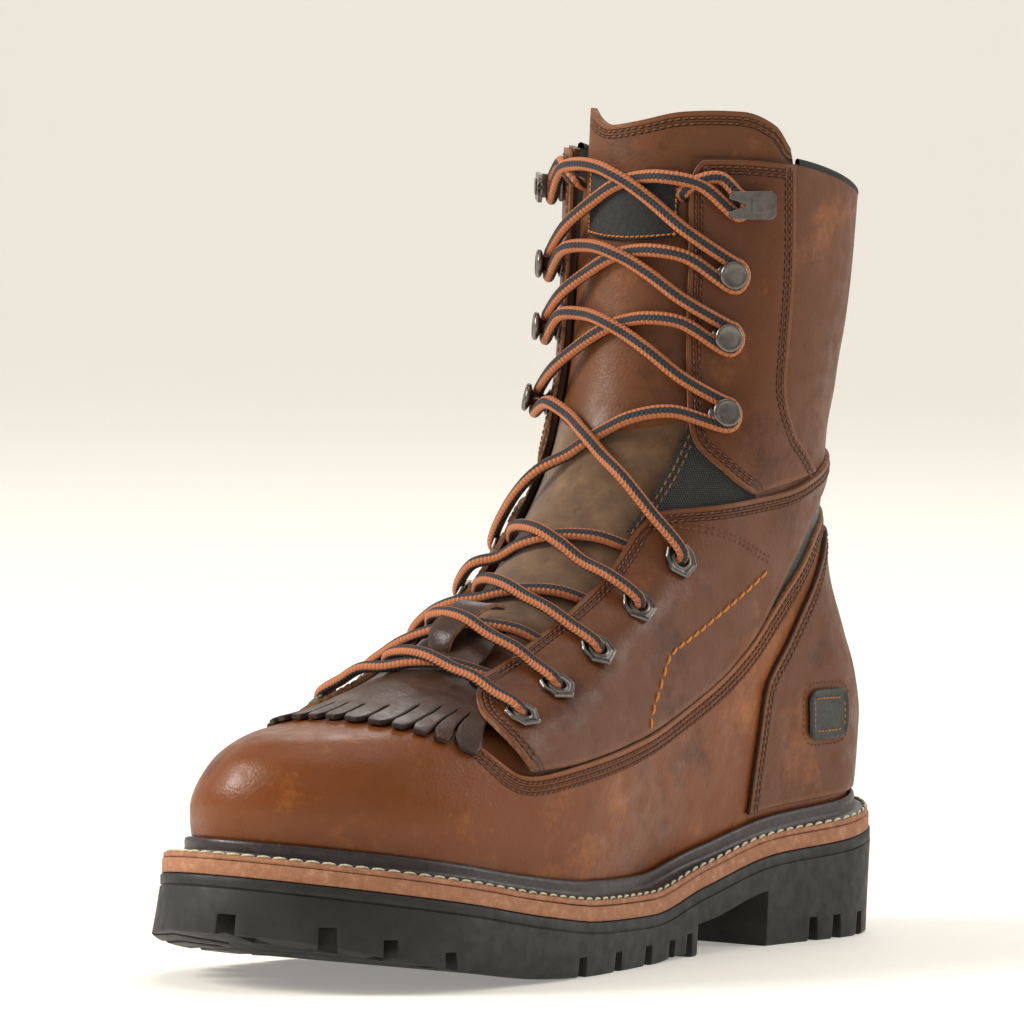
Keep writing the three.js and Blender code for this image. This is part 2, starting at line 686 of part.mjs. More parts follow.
function quarter(side) {
  const under = (around, up) => CURVED_GAP + flapLift(around, up);
  const over = (around, up) => under(around, up) + PANEL;
  const ridgeUp = (ridge) => vampEdge("up", ridge) + RIDGE_GAP;
  const rows = QUARTER.rows.map(([edge, edgeUp, ridge]) => [edge, edgeUp, ridge, ridgeUp(ridge)]);
  const outline = sideOutline(panelOutline(rows), over);
  const [top, foot] = [outline[rows.length - 1], outline[rows.length]];
  outline.splice(rows.length, 0, [REACH, top[1]], [REACH, foot[1]]);
  const panel = sideCut(form(under, over), outline, side);
  return EYELETS.rows.reduce((kept, place) => kept.subtract(eyeletSeat(side, place)), cutEyelets(panel));
}

function shaftPanel(side) {
  const over = fixed(CURVED_GAP + PANEL);
  const outline = sideOutline(panelOutline(SHAFT_PANEL.rows), over);
  const panel = sideCut(form(fixed(CURVED_GAP), over), outline, side);
  return hookPlaces(side).reduce((kept, place) => kept.subtract(hookSeat(place)), panel);
}

function heelCounter() {
  const under = VAMP + CURVED_GAP;
  const over = fixed(under + COUNTER);
  const low = COUNTER_EDGE.rows[0][0];
  const front = sideOutline(COUNTER_EDGE.rows.map(([up, around]) => [around, up]), over);
  const top = sideOutline([[0.9, COUNTER_TOP], [1, COUNTER_TOP]], over);
  const foot = sideOutline([[1, low], [0.9, low], [0.8, low], [0.7, low]], over);
  const outline = [...front, ...top, [REACH, top[1][1]], [REACH, foot[0][1]], ...foot];
  return sideCut(form(fixed(under), over), outline, 0);
}

function backstay() {
  const half = BACKSTAY_WIDTH / 2;
  const [foot, top] = [surface(1, BACKSTAY_FOOT).z, SHAFT_BACK - GAP];
  const outline = [[-half, foot], [half, foot], [half * 0.8, top], [-half * 0.8, top]];
  const back = surface(1, 0.8).y;
  const cut = prism(outline, -REACH, -back / 2, X, Z);
  return form(fixed(CURVED_GAP), fixed(CURVED_GAP + PANEL)).intersect(cut);
}

const TONGUE_FACE = -WALL - CURVED_GAP * 2;

function tongue() {
  return patch(TONGUE_ROWS, 8, 9, [fixed(TONGUE_FACE - TONGUE), fixed(TONGUE_FACE)]);
}

function tonguePatch() {
  const under = TONGUE_FACE + CURVED_GAP;
  return patch(TONGUE_PATCH, 4, 1, [fixed(under), fixed(under + PATCH)]);
}

function heelTab() {
  const under = VAMP + CURVED_GAP * 2 + COUNTER;
  const over = fixed(under + PATCH);
  return sideCut(form(fixed(under), over), sideOutline(HEEL_TAB, over), 1);
}

const KILTIE_ROOT = { from: 0.41, to: 0.50, lift: 1 };

function kiltieUnder(up) {
  return mix(VAMP + CURVED_GAP, KILTIE_ROOT.lift, smooth(up, KILTIE_ROOT.from, KILTIE_ROOT.to));
}

// The fringe is cut in the kiltie's front edge, seen from above.
function fringe() {
  const place = (t, back) => {
    const up = FRINGE.endUp + FRINGE.bow * (1 - Math.pow(2 * t - 1, 2)) + back;
    return [mix(FRINGE.inner, FRINGE.outer, t), up];
  };
  const places = [];
  for (let i = 0; i < FRINGE.fingers; i += 1) {
    if (i > 0) places.push(place(i / FRINGE.fingers, FRINGE.depth));
    places.push(place((i + FRINGE.slit) / FRINGE.fingers, 0));
    places.push(place((i + 1 - FRINGE.slit) / FRINGE.fingers, 0));
  }
  return places;
}

function kiltie() {
  const under = (around, up) => kiltieUnder(up);
  const over = (around, up) => under(around, up) + KILTIE;
  const outer = KILTIE_EDGE.rows.map(([, , around, up]) => [around, up]);
  const inner = KILTIE_EDGE.rows.map(([around, up]) => [around, up]).reverse();
  const points = [...fringe(), ...outer, ...inner].map(([around, up]) => last(around, up, over(around, up)));
  const outline = points.map((point) => [point.x, point.y]);
  return form(under, over).intersect(prism(outline, 0, SHAFT_BACK, X, Y));
}

// Hardware. A seat is the room that a flange takes in the panel under it.
const eyeletLift = (around, up) => flapLift(Math.abs(around), up) + CURVED_GAP * 2 + PANEL;
const HOOK_LIFT = CURVED_GAP * 2 + PANEL;
const HOOK_FOOT = HOOK_FACE * 0.42;

function flangeSeat(around, up, radius, lift) {
  const room = new THREE.CylinderGeometry(radius + 3 * GAP, radius + 3 * GAP, EYELET_ACROSS, 6);
  room.translate(0, lift - GAP + EYELET_ACROSS / 2, 0);
  return solid(placed(room, last(around, up, 0), outward(around, up)));
}

function eyeletSeat(side, [around, up]) {
  return flangeSeat(side * around, up, EYELET_ACROSS / 2, eyeletLift(around, up));
}

const hookSeat = ([around, up]) => flangeSeat(around, up, HOOK_FOOT, HOOK_LIFT);

function hookPlaces(side) {
  return HOOKS.rows.map(([outer, outerUp, inner, innerUp]) => {
    return side > 0 ? [outer, outerUp] : [-inner, innerUp];
  });
}

function eyelet(around, up) {
  const lift = eyeletLift(around, up);
  const direction = outward(around, up);
  const flange = new THREE.CylinderGeometry(EYELET_ACROSS / 2, EYELET_ACROSS / 2, EYELET_RIM, 6);
  flange.translate(0, lift + EYELET_RIM / 2, 0);
  const barrelLength = lift + WALL + EYELET_RIM;
  const radius = EYELET_HOLE / 2 + EYELET_BARREL;
  const barrel = new THREE.CylinderGeometry(radius, radius, barrelLength, 6);
  barrel.translate(0, lift + EYELET_RIM / 2 - barrelLength / 2, 0);
  const bore = new THREE.CylinderGeometry(EYELET_HOLE / 2, EYELET_HOLE / 2, EYELET_ACROSS * 2, 6);
  const ring = solid(flange).add(solid(barrel)).subtract(solid(bore));
  return solid(placed(geometryOf(ring), last(around, up, 0), direction));
}

function hook(around, up) {
  const turned = [
    [0, 0], [HOOK_FOOT, 0], [HOOK_NECK / 2, 1.4], [HOOK_NECK / 2, HOOK_REACH - 3],
    [HOOK_FACE / 2, HOOK_REACH - 1.4], [HOOK_FACE * 0.4, HOOK_REACH], [0, HOOK_REACH],
  ];
  const geometry = new THREE.LatheGeometry(turned.map(([r, h]) => new THREE.Vector2(r, h)), 8);
  return solid(placed(geometry, last(around, up, HOOK_LIFT), outward(around, up)));
}

// A cinch hook is a plate folded over, so that the lace is gripped in its fold.
function cinchHook(around, up) {
  const reach = HOOK_REACH;
  const half = CINCH_LENGTH / 2;
  const outline = [
    [-half, 0], [half, 0], [half, CINCH_PLATE], [-half + CINCH_PLATE * 2, CINCH_PLATE],
    [-half + CINCH_PLATE * 2, reach - CINCH_PLATE], [half * 0.6, reach - CINCH_PLATE * 1.5],
    [half * 0.6, reach - CINCH_PLATE * 0.5], [-half + CINCH_PLATE, reach], [-half, reach - CINCH_PLATE],
  ];
  const shape = new THREE.Shape(outline.map(([a, b]) => new THREE.Vector2(a, b)));
  const geometry = new THREE.ExtrudeGeometry(shape, { depth: CINCH_WIDTH, bevelEnabled: false });
  geometry.translate(0, 0, -CINCH_WIDTH / 2);
  const outwards = outward(around, up);
  const side = Math.sign(around);
  const rearward = surface(around + side * STEP, up).sub(surface(around, up)).normalize();
  const frame = new THREE.Matrix4().makeBasis(rearward, outwards, rearward.clone().cross(outwards));
  return solid(geometry.applyMatrix4(frame.setPosition(last(around, up, HOOK_LIFT))));
}

// Laces
function tube(points, diameter, sides) {
  const curve = new THREE.CatmullRomCurve3(points, false, "centripetal");
  const section = new THREE.Shape();
  for (let i = 0; i < sides; i += 1) {
    const angle = (2 * Math.PI * i) / sides;
    const spot = [Math.cos(angle) * diameter / 2, Math.sin(angle) * diameter / 2];
    if (i === 0) section.moveTo(...spot);
    else section.lineTo(...spot);
  }
  section.closePath();
  const steps = Math.max(4, Math.round(curve.getLength() / (diameter * 3)));
  return solid(new THREE.ExtrudeGeometry(section, { steps, extrudePath: curve }));
}

// The place on the upper under a point of the throat, seen square to the instep.
function onThroat(x, along) {
  const side = x < 0 ? -1 : 1;
  let [around, up] = [0.2, 0.6];
  for (let round = 0; round < 5; round += 1) {
    around = bisect(0, 0.5, (value) => side * surface(side * value, up).x - Math.abs(x));
    up = bisect(0.05, 1, (value) => throatAlong(surface(side * around, value)) - along);
  }
  return [side * around, up];
}

function bisect(from, to, miss) {
  let [low, high] = [from, to];
  for (let i = 0; i < 14; i += 1) {
    const middle = (low + high) / 2;
    if (miss(middle) < 0) low = middle;
    else high = middle;
  }
  return (low + high) / 2;
}

const throatAlong = (point) => (point.y + point.z) * Math.SQRT1_2;

// A strand crosses from a holder on one side to the next one up on the other, over the
// flaps, the tongue and the kiltie.
const HOLDER_CLEAR = 7;
const STRAND_SPANS = 8;

function laceLift(around, up) {
  const shaft = smooth(up, 0.55, 0.61);
  const overKiltie = kiltieUnder(up) + KILTIE + CURVED_GAP;
  const overTongue = TONGUE_FACE + CURVED_GAP + PATCH;
  const bare = mix(overKiltie, overTongue, shaft) + CURVED_GAP * 2 + LACE / 2;
  const clear = mix(CURVED_GAP * 4, CURVED_GAP * 3, shaft);
  const overFlap = clear + PANEL + LACE / 2 + flapLift(Math.abs(around), up);
  return mix(bare, overFlap, smooth(Math.abs(around), 0.08, 0.16));
}

function strand(low, high) {
  const [start, end] = [last(...low), last(...high)];
  const points = [];
  const from = start.x - Math.sign(start.x) * HOLDER_CLEAR;
  const to = end.x - Math.sign(end.x) * HOLDER_CLEAR;
  for (let i = 0; i <= STRAND_SPANS; i += 1) {
    const t = i / STRAND_SPANS;
    const done = (t * (to - from) + from - start.x) / (end.x - start.x);
    const along = mix(throatAlong(start), throatAlong(end), done);
    const [around, up] = onThroat(mix(from, to, t), along);
    points.push(last(around, up, laceLift(around, up)));
  }
  return tube(points, LACE, 6);
}

const holders = [
  ...EYELETS.rows.map(([around, up]) => [[around, up], [-around, up]]),
  ...HOOKS.rows.map(([outer, outerUp, inner, innerUp]) => [[outer, outerUp], [-inner, innerUp]]),
];

function crossing(low, high) {
  return strand(low[0], high[1]).add(strand(low[1], high[0]));
}

// Assembly
const boot = new THREE.Group();
const LEATHER = { color: 0x8f5428, roughness: 0.55, metalness: 0 };
const DARK_LEATHER = { color: 0x4a3126, roughness: 0.6, metalness: 0 };
const RUBBER = { color: 0x232320, roughness: 0.8, metalness: 0 };
const METAL = { color: 0x79716a, roughness: 0.35, metalness: 1 };

function put(name, manifold, finish) {
  const mesh = new THREE.Mesh(geometryOf(manifold), new THREE.MeshStandardMaterial(finish));
  mesh.name = name;
  boot.add(mesh);
}

put("outsole", outsole(), RUBBER);
put("midsole", midsole(), { color: 0xaf7d5f, roughness: 0.7, metalness: 0 });
put("welt", welt(), { color: 0x3c2d2a, roughness: 0.6, metalness: 0 });
put("insole", insole(), { color: 0x2c2a28, roughness: 0.9, metalness: 0 });
put("upper", upper(), LEATHER);
put("tongue", tongue(), { color: 0x7d5a37, roughness: 0.8, metalness: 0 });
put("kiltie", kiltie(), DARK_LEATHER);
put("heel_counter", heelCounter(), LEATHER);
put("backstay", backstay(), LEATHER);
put("tongue_patch", tonguePatch(), { color: 0x1d1c1b, roughness: 0.8, metalness: 0 });
put("heel_tab", heelTab(), { color: 0x1d1c1b, roughness: 0.8, metalness: 0 });
for (const [name, side] of [["lateral", 1], ["medial", -1]]) {
  put(`quarter_${name}`, quarter(side), LEATHER);
  put(`shaft_panel_${name}`, shaftPanel(side), LEATHER);
  EYELETS.rows.forEach(([around, up], i) => put(`eyelet_${name}_${i + 1}`, eyelet(side * around, up), METAL));
  hookPlaces(side).forEach((place, i) => {
    const top = i === TOP_HOOK;
    if (top) put(`cinch_hook_${name}`, cinchHook(...place), METAL);
    else put(`hook_${name}_${i + 1}`, hook(...place), METAL);
  });
}
for (let i = 0; i < holders.length - 1; i += 1) {
  const lace = { color: 0x8a5636, roughness: 0.8, metalness: 0 };
  put(`lace_crossing_${i + 1}`, crossing(holders[i], holders[i + 1]), lace);
}

// The origin goes under the middle of the outsole.
const bounds = new THREE.Box3().setFromObject(boot.getObjectByName("outsole"));
const middle = bounds.getCenter(new THREE.Vector3());
boot.position.set(-middle.x, -middle.y, 0);

export default boot;
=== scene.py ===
"""Looks of a left work boot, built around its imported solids.

Lengths are in millimetres, in the frame of the solids' source, until metres() turns them
into the row frame. Around runs from the front centre line (0) by the outer side to the back
(1), and up from the feather (0) to the collar (1).
"""

import math

import bpy
import numpy as np
from mathutils import Matrix, Vector
from mathutils.kdtree import KDTree


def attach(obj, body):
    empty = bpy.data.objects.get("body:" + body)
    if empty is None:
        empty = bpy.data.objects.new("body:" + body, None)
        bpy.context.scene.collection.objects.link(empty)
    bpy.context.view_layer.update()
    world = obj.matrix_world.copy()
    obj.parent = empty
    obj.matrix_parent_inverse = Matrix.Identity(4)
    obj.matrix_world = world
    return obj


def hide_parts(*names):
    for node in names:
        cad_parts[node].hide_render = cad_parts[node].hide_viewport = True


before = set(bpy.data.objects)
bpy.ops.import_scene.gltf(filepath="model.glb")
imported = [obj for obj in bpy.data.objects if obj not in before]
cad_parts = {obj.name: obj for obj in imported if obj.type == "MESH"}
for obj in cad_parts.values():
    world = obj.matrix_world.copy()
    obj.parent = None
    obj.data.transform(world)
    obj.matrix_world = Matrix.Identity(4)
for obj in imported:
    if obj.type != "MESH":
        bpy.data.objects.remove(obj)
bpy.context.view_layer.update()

# Sizes repeated from the solids
SHIFT = np.array([1.311056, 1.199997, 0.0])
LENGTH = 319
BALL_WIDTH = 109
FORE_RUBBER = 16
HEEL_LIFT = 16
TOE_SPRING = 20
TOE_SWING = 11.5
LUG_DEPTH = 6.5
NOTCH_WIDTH = 5.6
HEEL_BREAST = 76
SHANK_LENGTH = 49
HEEL_DRAFT = 0.8
TOE_FLARE = 2.4
MIDSOLE = 4.7
MIDSOLE_INSET = 0.4
WELT = 3
WELT_SLOPE = 1.4
RIDGE_HEIGHT = 4.5
RIDGE_THICK = 2
SHAFT_FRONT = 257
SHAFT_BACK = 243
SHAFT_WIDTH = 93
WALL = 1.7
VAMP = 2
PANEL = 1.3
COUNTER = 1.4
TONGUE = 2.5
KILTIE = 1.8
PATCH = 0.8
FLAP_RISE = 4.3
COLLAR_CROWN = 6
INNER_RISE = 4
HOOK_NECK = 4
HOOK_FACE = 9.5
HOOK_REACH = 8.5
LACE = 4.2
YARN = 1.5
GAP = 0.3
CURVED_GAP = 0.4
FEATHER_GAP = 0.6
SHAFT_STARTS = 0.35
SHAFT_ENDS = 0.70
SWING_STARTS = 0.6
SWING_ENDS_UP = 0.6
SEAT_FADES_UP = 0.4
TONGUE_FACE = -WALL - CURVED_GAP * 2
HOOK_LIFT = CURVED_GAP * 2 + PANEL

SOLE = {
    "columns": ["at", "lateral", "medial", "heel", "spring", "roll", "arch"],
    "rows": [
        [0.00, 0.367, 0.362, 1.34, 0.00, 0.00, 0.76],
        [0.13, 0.367, 0.362, 1.03, 0.00, 0.00, 0.76],
        [0.25, 0.350, 0.348, 0.87, 0.00, 0.00, 0.75],
        [0.38, 0.370, 0.303, 0.40, 0.00, 0.12, 0.14],
        [0.50, 0.427, 0.322, 0.00, 0.00, 0.00, 0.00],
        [0.62, 0.490, 0.404, 0.00, 0.05, 0.00, 0.00],
        [0.72, 0.524, 0.470, 0.00, 0.24, 0.06, 0.00],
        [0.82, 0.526, 0.478, 0.00, 0.52, 0.25, 0.00],
        [1.00, 0.476, 0.418, 0.00, 1.00, 0.90, 0.00],
    ],
}
PROFILE = {
    "columns": ["up", "front", "frontRise", "back", "backRise", "frontRound", "backRound"],
    "rows": [
        [0.00, -0.465, 0.000, 0.467, 0.000, 0.20, 0.110],
        [0.08, -0.473, 0.061, 0.473, 0.061, 0.20, 0.115],
        [0.17, -0.460, 0.118, 0.475, 0.141, 0.22, 0.12],
        [0.25, -0.428, 0.155, 0.460, 0.217, 0.26, 0.125],
        [0.33, -0.352, 0.172, 0.438, 0.293, 0.32, 0.15],
        [0.42, -0.258, 0.208, 0.419, 0.384, 0.40, 0.20],
        [0.52, -0.148, 0.289, 0.412, 0.485, 0.44, 0.28],
        [0.62, -0.035, 0.402, 0.415, 0.586, 0.48, 0.38],
        [0.72, 0.050, 0.533, 0.423, 0.687, 0.50, 0.46],
        [0.81, 0.094, 0.673, 0.434, 0.788, 0.50, 0.50],
        [0.91, 0.110, 0.836, 0.445, 0.899, 0.50, 0.50],
        [1.00, 0.116, 1.000, 0.453, 1.000, 0.50, 0.50],
    ],
}
GIRTH = {
    "columns": [
        "up", "toeOut", "ballOut", "waistOut", "heelOut", "toeIn", "ballIn", "waistIn", "heelIn",
    ],
    "rows": [
        [0.00, 0.405, 0.412, 0.285, 0.288, 0.365, 0.350, 0.225, 0.278],
        [0.08, 0.412, 0.435, 0.320, 0.300, 0.375, 0.378, 0.270, 0.295],
        [0.17, 0.392, 0.440, 0.345, 0.310, 0.358, 0.378, 0.300, 0.303],
        [0.25, 0.350, 0.425, 0.355, 0.325, 0.305, 0.348, 0.310, 0.315],
        [0.33, 0.303, 0.400, 0.358, 0.333, 0.258, 0.325, 0.318, 0.328],
        [0.42, 0.282, 0.375, 0.364, 0.337, 0.245, 0.318, 0.335, 0.348],
        [0.52, 0.303, 0.378, 0.392, 0.378, 0.270, 0.342, 0.375, 0.387],
        [0.62, 0.345, 0.410, 0.440, 0.442, 0.335, 0.400, 0.430, 0.432],
        [0.72, 0.390, 0.450, 0.472, 0.475, 0.380, 0.442, 0.466, 0.468],
        [0.81, 0.415, 0.470, 0.488, 0.490, 0.405, 0.465, 0.482, 0.484],
        [0.91, 0.440, 0.495, 0.502, 0.500, 0.430, 0.485, 0.496, 0.494],
        [1.00, 0.450, 0.500, 0.506, 0.503, 0.440, 0.495, 0.500, 0.500],
    ],
}
STATIONS = [0, 0.12, 0.33, 0.60, 0.85, 1]
VAMP_EDGE = {
    "columns": ["around", "up"],
    "rows": [
        [0.00, 0.355], [0.15, 0.345], [0.25, 0.280], [0.34, 0.180], [0.39, 0.196],
        [0.49, 0.230], [0.55, 0.272], [0.61, 0.344], [0.65, 0.414], [0.69, 0.474],
        [0.74, 0.526], [0.85, 0.545], [1.00, 0.550],
    ],
}
# The strap's lower edge leaves the vamp's ridge behind the ankle, where a flexible insert shows.
QUARTER = {
    "columns": ["edge", "edgeUp", "ridge", "flex"],
    "rows": [
        [0.208, 0.418, 0.335, 0.004], [0.222, 0.482, 0.40, 0.004], [0.246, 0.532, 0.47, 0.004],
        [0.260, 0.588, 0.54, 0.004], [0.258, 0.634, 0.60, 0.004], [0.285, 0.657, 0.64, 0.012],
        [0.360, 0.651, 0.67, 0.060], [0.475, 0.640, 0.715, 0.080], [0.600, 0.628, 0.78, 0.070],
        [0.750, 0.638, 0.87, 0.052], [0.993, 0.648, 0.993, 0.044],
    ],
}
SHAFT_PANEL = {
    "columns": ["from", "fromUp", "to", "toUp"],
    "rows": [
        [0.47, 0.648, 0.65, 0.640], [0.37, 0.695, 0.57, 0.690], [0.275, 0.745, 0.505, 0.728],
        [0.240, 0.785, 0.445, 0.785], [0.210, 0.855, 0.428, 0.855], [0.198, 0.930, 0.416, 0.930],
        [0.190, 0.998, 0.406, 0.998],
    ],
}
COUNTER_EDGE = {
    "columns": ["up", "around"],
    "rows": [
        [0.04, 0.647], [0.17, 0.646], [0.27, 0.653], [0.36, 0.687], [0.44, 0.735],
        [0.51, 0.80],
    ],
}
TONGUE_ROWS = {
    "columns": ["from", "fromUp", "to", "toUp", "crown"],
    "rows": [
        [-0.20, 0.36, 0.20, 0.36, 0], [-0.27, 0.45, 0.27, 0.45, 0], [-0.32, 0.55, 0.32, 0.55, 0],
        [-0.33, 0.66, 0.33, 0.66, 0], [-0.30, 0.78, 0.34, 0.78, 0], [-0.24, 0.90, 0.38, 0.90, 0],
        [-0.15, 0.995, 0.42, 0.99, 0], [-0.145, 1.015, 0.41, 1.022, 0.022],
    ],
}
KILTIE_EDGE = {
    "columns": ["up", "inner", "outer"],
    "rows": [
        [0.26, -0.250, 0.270], [0.36, -0.235, 0.25], [0.44, -0.17, 0.17], [0.53, -0.13, 0.14],
    ],
}
FRINGE = {"outer": 0.28, "endUp": 0.208, "bow": 0.132, "shortest": 0.040, "longest": 0.085, "fingers": 13}
# Places of the cuts between the fringe's fingers, counted from its middle
FINGERS = {
    "columns": ["place", "around"],
    "rows": [
        [0.0, 0.0], [0.5, 0.030], [1.5, 0.095], [2.5, 0.155], [3.5, 0.197], [4.5, 0.229],
        [5.5, 0.254], [6.5, 0.285],
    ],
}
# The tongue's top edge: a sharp inner corner, a dip, and a rounded outer corner
TONGUE_TOP = {
    "columns": ["at", "rise"],
    "rows": [[-1, 1.1], [-0.85, 0.75], [-0.66, 0.55], [-0.3, 0.72], [0.15, 1.0], [0.6, 1.02], [0.85, 0.6], [1, -0.3]],
}
THROAT = {
    "columns": ["along", "half"],
    "rows": [
        [0.045, 0.020], [0.06, 0.045], [0.085, 0.060], [0.16, 0.070], [0.22, 0.078],
        [0.29, 0.084], [0.37, 0.087], [0.45, 0.088], [0.50, 0.084], [0.55, 0.079], [0.72, 0.076],
    ],
}
EYELETS = [[0.315, 0.283], [0.330, 0.355], [0.346, 0.435], [0.361, 0.513], [0.382, 0.577]]
HOOKS_OUT = [[0.318, 0.760], [0.290, 0.837], [0.285, 0.896], [0.308, 0.958]]
HOOKS_IN = [[-0.275, 0.770], [-0.255, 0.841], [-0.252, 0.898], [-0.295, 0.962]]
BADGE = [[0.719, 0.154], [0.791, 0.150], [0.791, 0.240], [0.716, 0.247]]
# Notches in the tread's edge: share of the length from the heel, reach, width and height
NOTCHES = {
    "lateral": [
        [0.998, 24, 7.0, 6.5], [0.957, 22, 6.0, 6.5], [0.914, 20, 5.0, 6.0], [0.859, 18, 4.5, 5.5],
        [0.655, 15, 5.0, 6.5], [0.580, 15, 5.0, 6.5], [0.510, 15, 5.0, 6.5], [0.455, 14, 4.5, 6.0],
        [0.415, 12, 4.0, 6.0], [0.182, 10, 4.5, 8.0], [0.142, 10, 4.5, 8.0], [0.095, 10, 4.5, 8.0],
    ],
    "medial": [
        [0.950, 22, 5.5, 6.5], [0.895, 18, 5.0, 6.5], [0.835, 13, 5.0, 6.0], [0.765, 14, 5.0, 6.5],
        [0.690, 15, 5.0, 6.5], [0.620, 15, 5.0, 6.5], [0.550, 14, 5.0, 6.5], [0.480, 12, 4.5, 6.0],
        [0.182, 10, 4.5, 8.0], [0.142, 10, 4.5, 8.0], [0.095, 10, 4.5, 8.0],
    ],
}
SIDES = {"lateral": 1, "medial": -1}

# Colours, as linear red, green and blue
BROWN = (0.128, 0.039, 0.011)
BROWN_DARK = (0.050, 0.014, 0.005)
BROWN_LIGHT = (0.260, 0.088, 0.025)
KILTIE_BROWN = (0.052, 0.026, 0.017)
TAN = (0.400, 0.180, 0.095)
RUBBER = (0.008, 0.008, 0.007)
NUBUCK = (0.150, 0.078, 0.034)
METAL = (0.200, 0.180, 0.160)
THREAD = (0.200, 0.076, 0.030)
ORANGE = (0.750, 0.250, 0.020)
CREAM = (0.800, 0.740, 0.520)
COPPER = (0.520, 0.170, 0.060)
PALE = (0.880, 0.850, 0.785)


# Curves through the tables
def tangents_of(xs, ys):
    spans = np.diff(xs)
    slopes = np.diff(ys, axis=0) / spans[:, None]
    tangents = np.zeros_like(ys)
    tangents[0] = slopes[0]
    tangents[-1] = slopes[-1]
    heavy = (2 * spans[1:] + spans[:-1])[:, None]
    light = (spans[1:] + 2 * spans[:-1])[:, None]
    before = slopes[:-1]
    after = slopes[1:]
    same = before * after > 0
    safe_before = np.where(same, before, 1)
    safe_after = np.where(same, after, 1)
    tangents[1:-1] = np.where(same, (heavy + light) / (heavy / safe_before + light / safe_after), 0)
    return tangents


def hermite(xs, ys, tangents, at):
    x = np.clip(at, xs[0], xs[-1])
    k = np.clip(np.searchsorted(xs, x) - 1, 0, len(xs) - 2)
    columns = np.arange(x.size) if ys.shape[1] > 1 else np.zeros(x.size, int)
    span = xs[k + 1] - xs[k]
    t = (x - xs[k]) / span
    rest = 1 - t
    low = (1 + 2 * t) * rest**2 * ys[k, columns] + t * rest**2 * span * tangents[k, columns]
    high = t**2 * (3 - 2 * t) * ys[k + 1, columns] - t**2 * rest * span * tangents[k + 1, columns]
    return low + high


def monotone(xs, ys, at):
    xs = np.asarray(xs, float)
    ys = np.asarray(ys, float)
    ys = ys[:, None] if ys.ndim == 1 else ys
    return hermite(xs, ys, tangents_of(xs, ys), np.asarray(at, float))


def reader(table):
    rows = np.array(table["rows"], float)
    xs = rows[:, 0]
    fits = {}
    for i, name in enumerate(table["columns"]):
        ys = rows[:, i : i + 1]
        fits[name] = (ys, tangents_of(xs, ys))

    def read(name, at):
        at = np.asarray(at, float)
        return hermite(xs, *fits[name], at.ravel()).reshape(at.shape)

    return read


sole = reader(SOLE)
profile = reader(PROFILE)
girth = reader(GIRTH)
vamp_edge = reader(VAMP_EDGE)
counter_edge = reader(COUNTER_EDGE)
kiltie_edge = reader(KILTIE_EDGE)
fingers = reader(FINGERS)
tongue_top = reader(TONGUE_TOP)
throat_half = reader(THROAT)


def mix(a, b, t):
    return a + (b - a) * t


def smooth(x, low, high):
    t = np.clip((np.asarray(x, float) - low) / (high - low), 0, 1)
    return t * t * (3 - 2 * t)


# The sole's outline and heights
HEEL_ROUND = 0.125
TOE_ROUND = 0.19
TOE_SQUARENESS = 2.25


def share(y):
    return 0.5 - y / LENGTH


def swing(y):
    return -TOE_SWING * (np.maximum(share(y) - SWING_STARTS, 0) / (1 - SWING_STARTS)) ** 1.5


def rubber_top(y):
    return FORE_RUBBER + sole("heel", share(y)) * HEEL_LIFT + sole("spring", share(y)) * TOE_SPRING


def tread(y):
    return sole("roll", share(y)) * TOE_SPRING


def web(y):
    return LUG_DEPTH + tread(y) + sole("arch", share(y)) * HEEL_LIFT


def seat(y):
    return rubber_top(y) + GAP + MIDSOLE + CURVED_GAP


def feather(y):
    return seat(y) + WELT + FEATHER_GAP


def ends(at):
    at = np.asarray(at, float)
    heel = np.sqrt(np.maximum(0, 1 - (1 - np.minimum(at / HEEL_ROUND, 1)) ** 2))
    over = np.maximum((at - 1 + TOE_ROUND) / TOE_ROUND, 0)
    return heel * np.sqrt(np.maximum(0, 1 - over**TOE_SQUARENESS))


def sole_edge(at, side, inset):
    at = np.asarray(at, float)
    half = np.where(side > 0, sole("lateral", at), sole("medial", at)) * BALL_WIDTH - inset
    x = swing(LENGTH * (0.5 - at)) + side * half * ends(at)
    return x, (LENGTH - 2 * inset) * (0.5 - at)


# The upper's surface
TOE_Y = PROFILE["rows"][0][1] * LENGTH
HEEL_Y = PROFILE["rows"][0][3] * LENGTH
STEP = 1e-3


def level_width(up, side, along):
    names = ["toe", "ball", "waist", "heel"]
    toe, ball, waist, heel = [
        np.where(side > 0, girth(name + "Out", up), girth(name + "In", up)) for name in names
    ]
    full = mix(BALL_WIDTH, SHAFT_WIDTH, smooth(up, SHAFT_STARTS, SHAFT_ENDS))
    rows = np.stack([toe * 0.97, toe, ball, waist, heel, heel * 0.98])
    return full * monotone(STATIONS, rows, along)


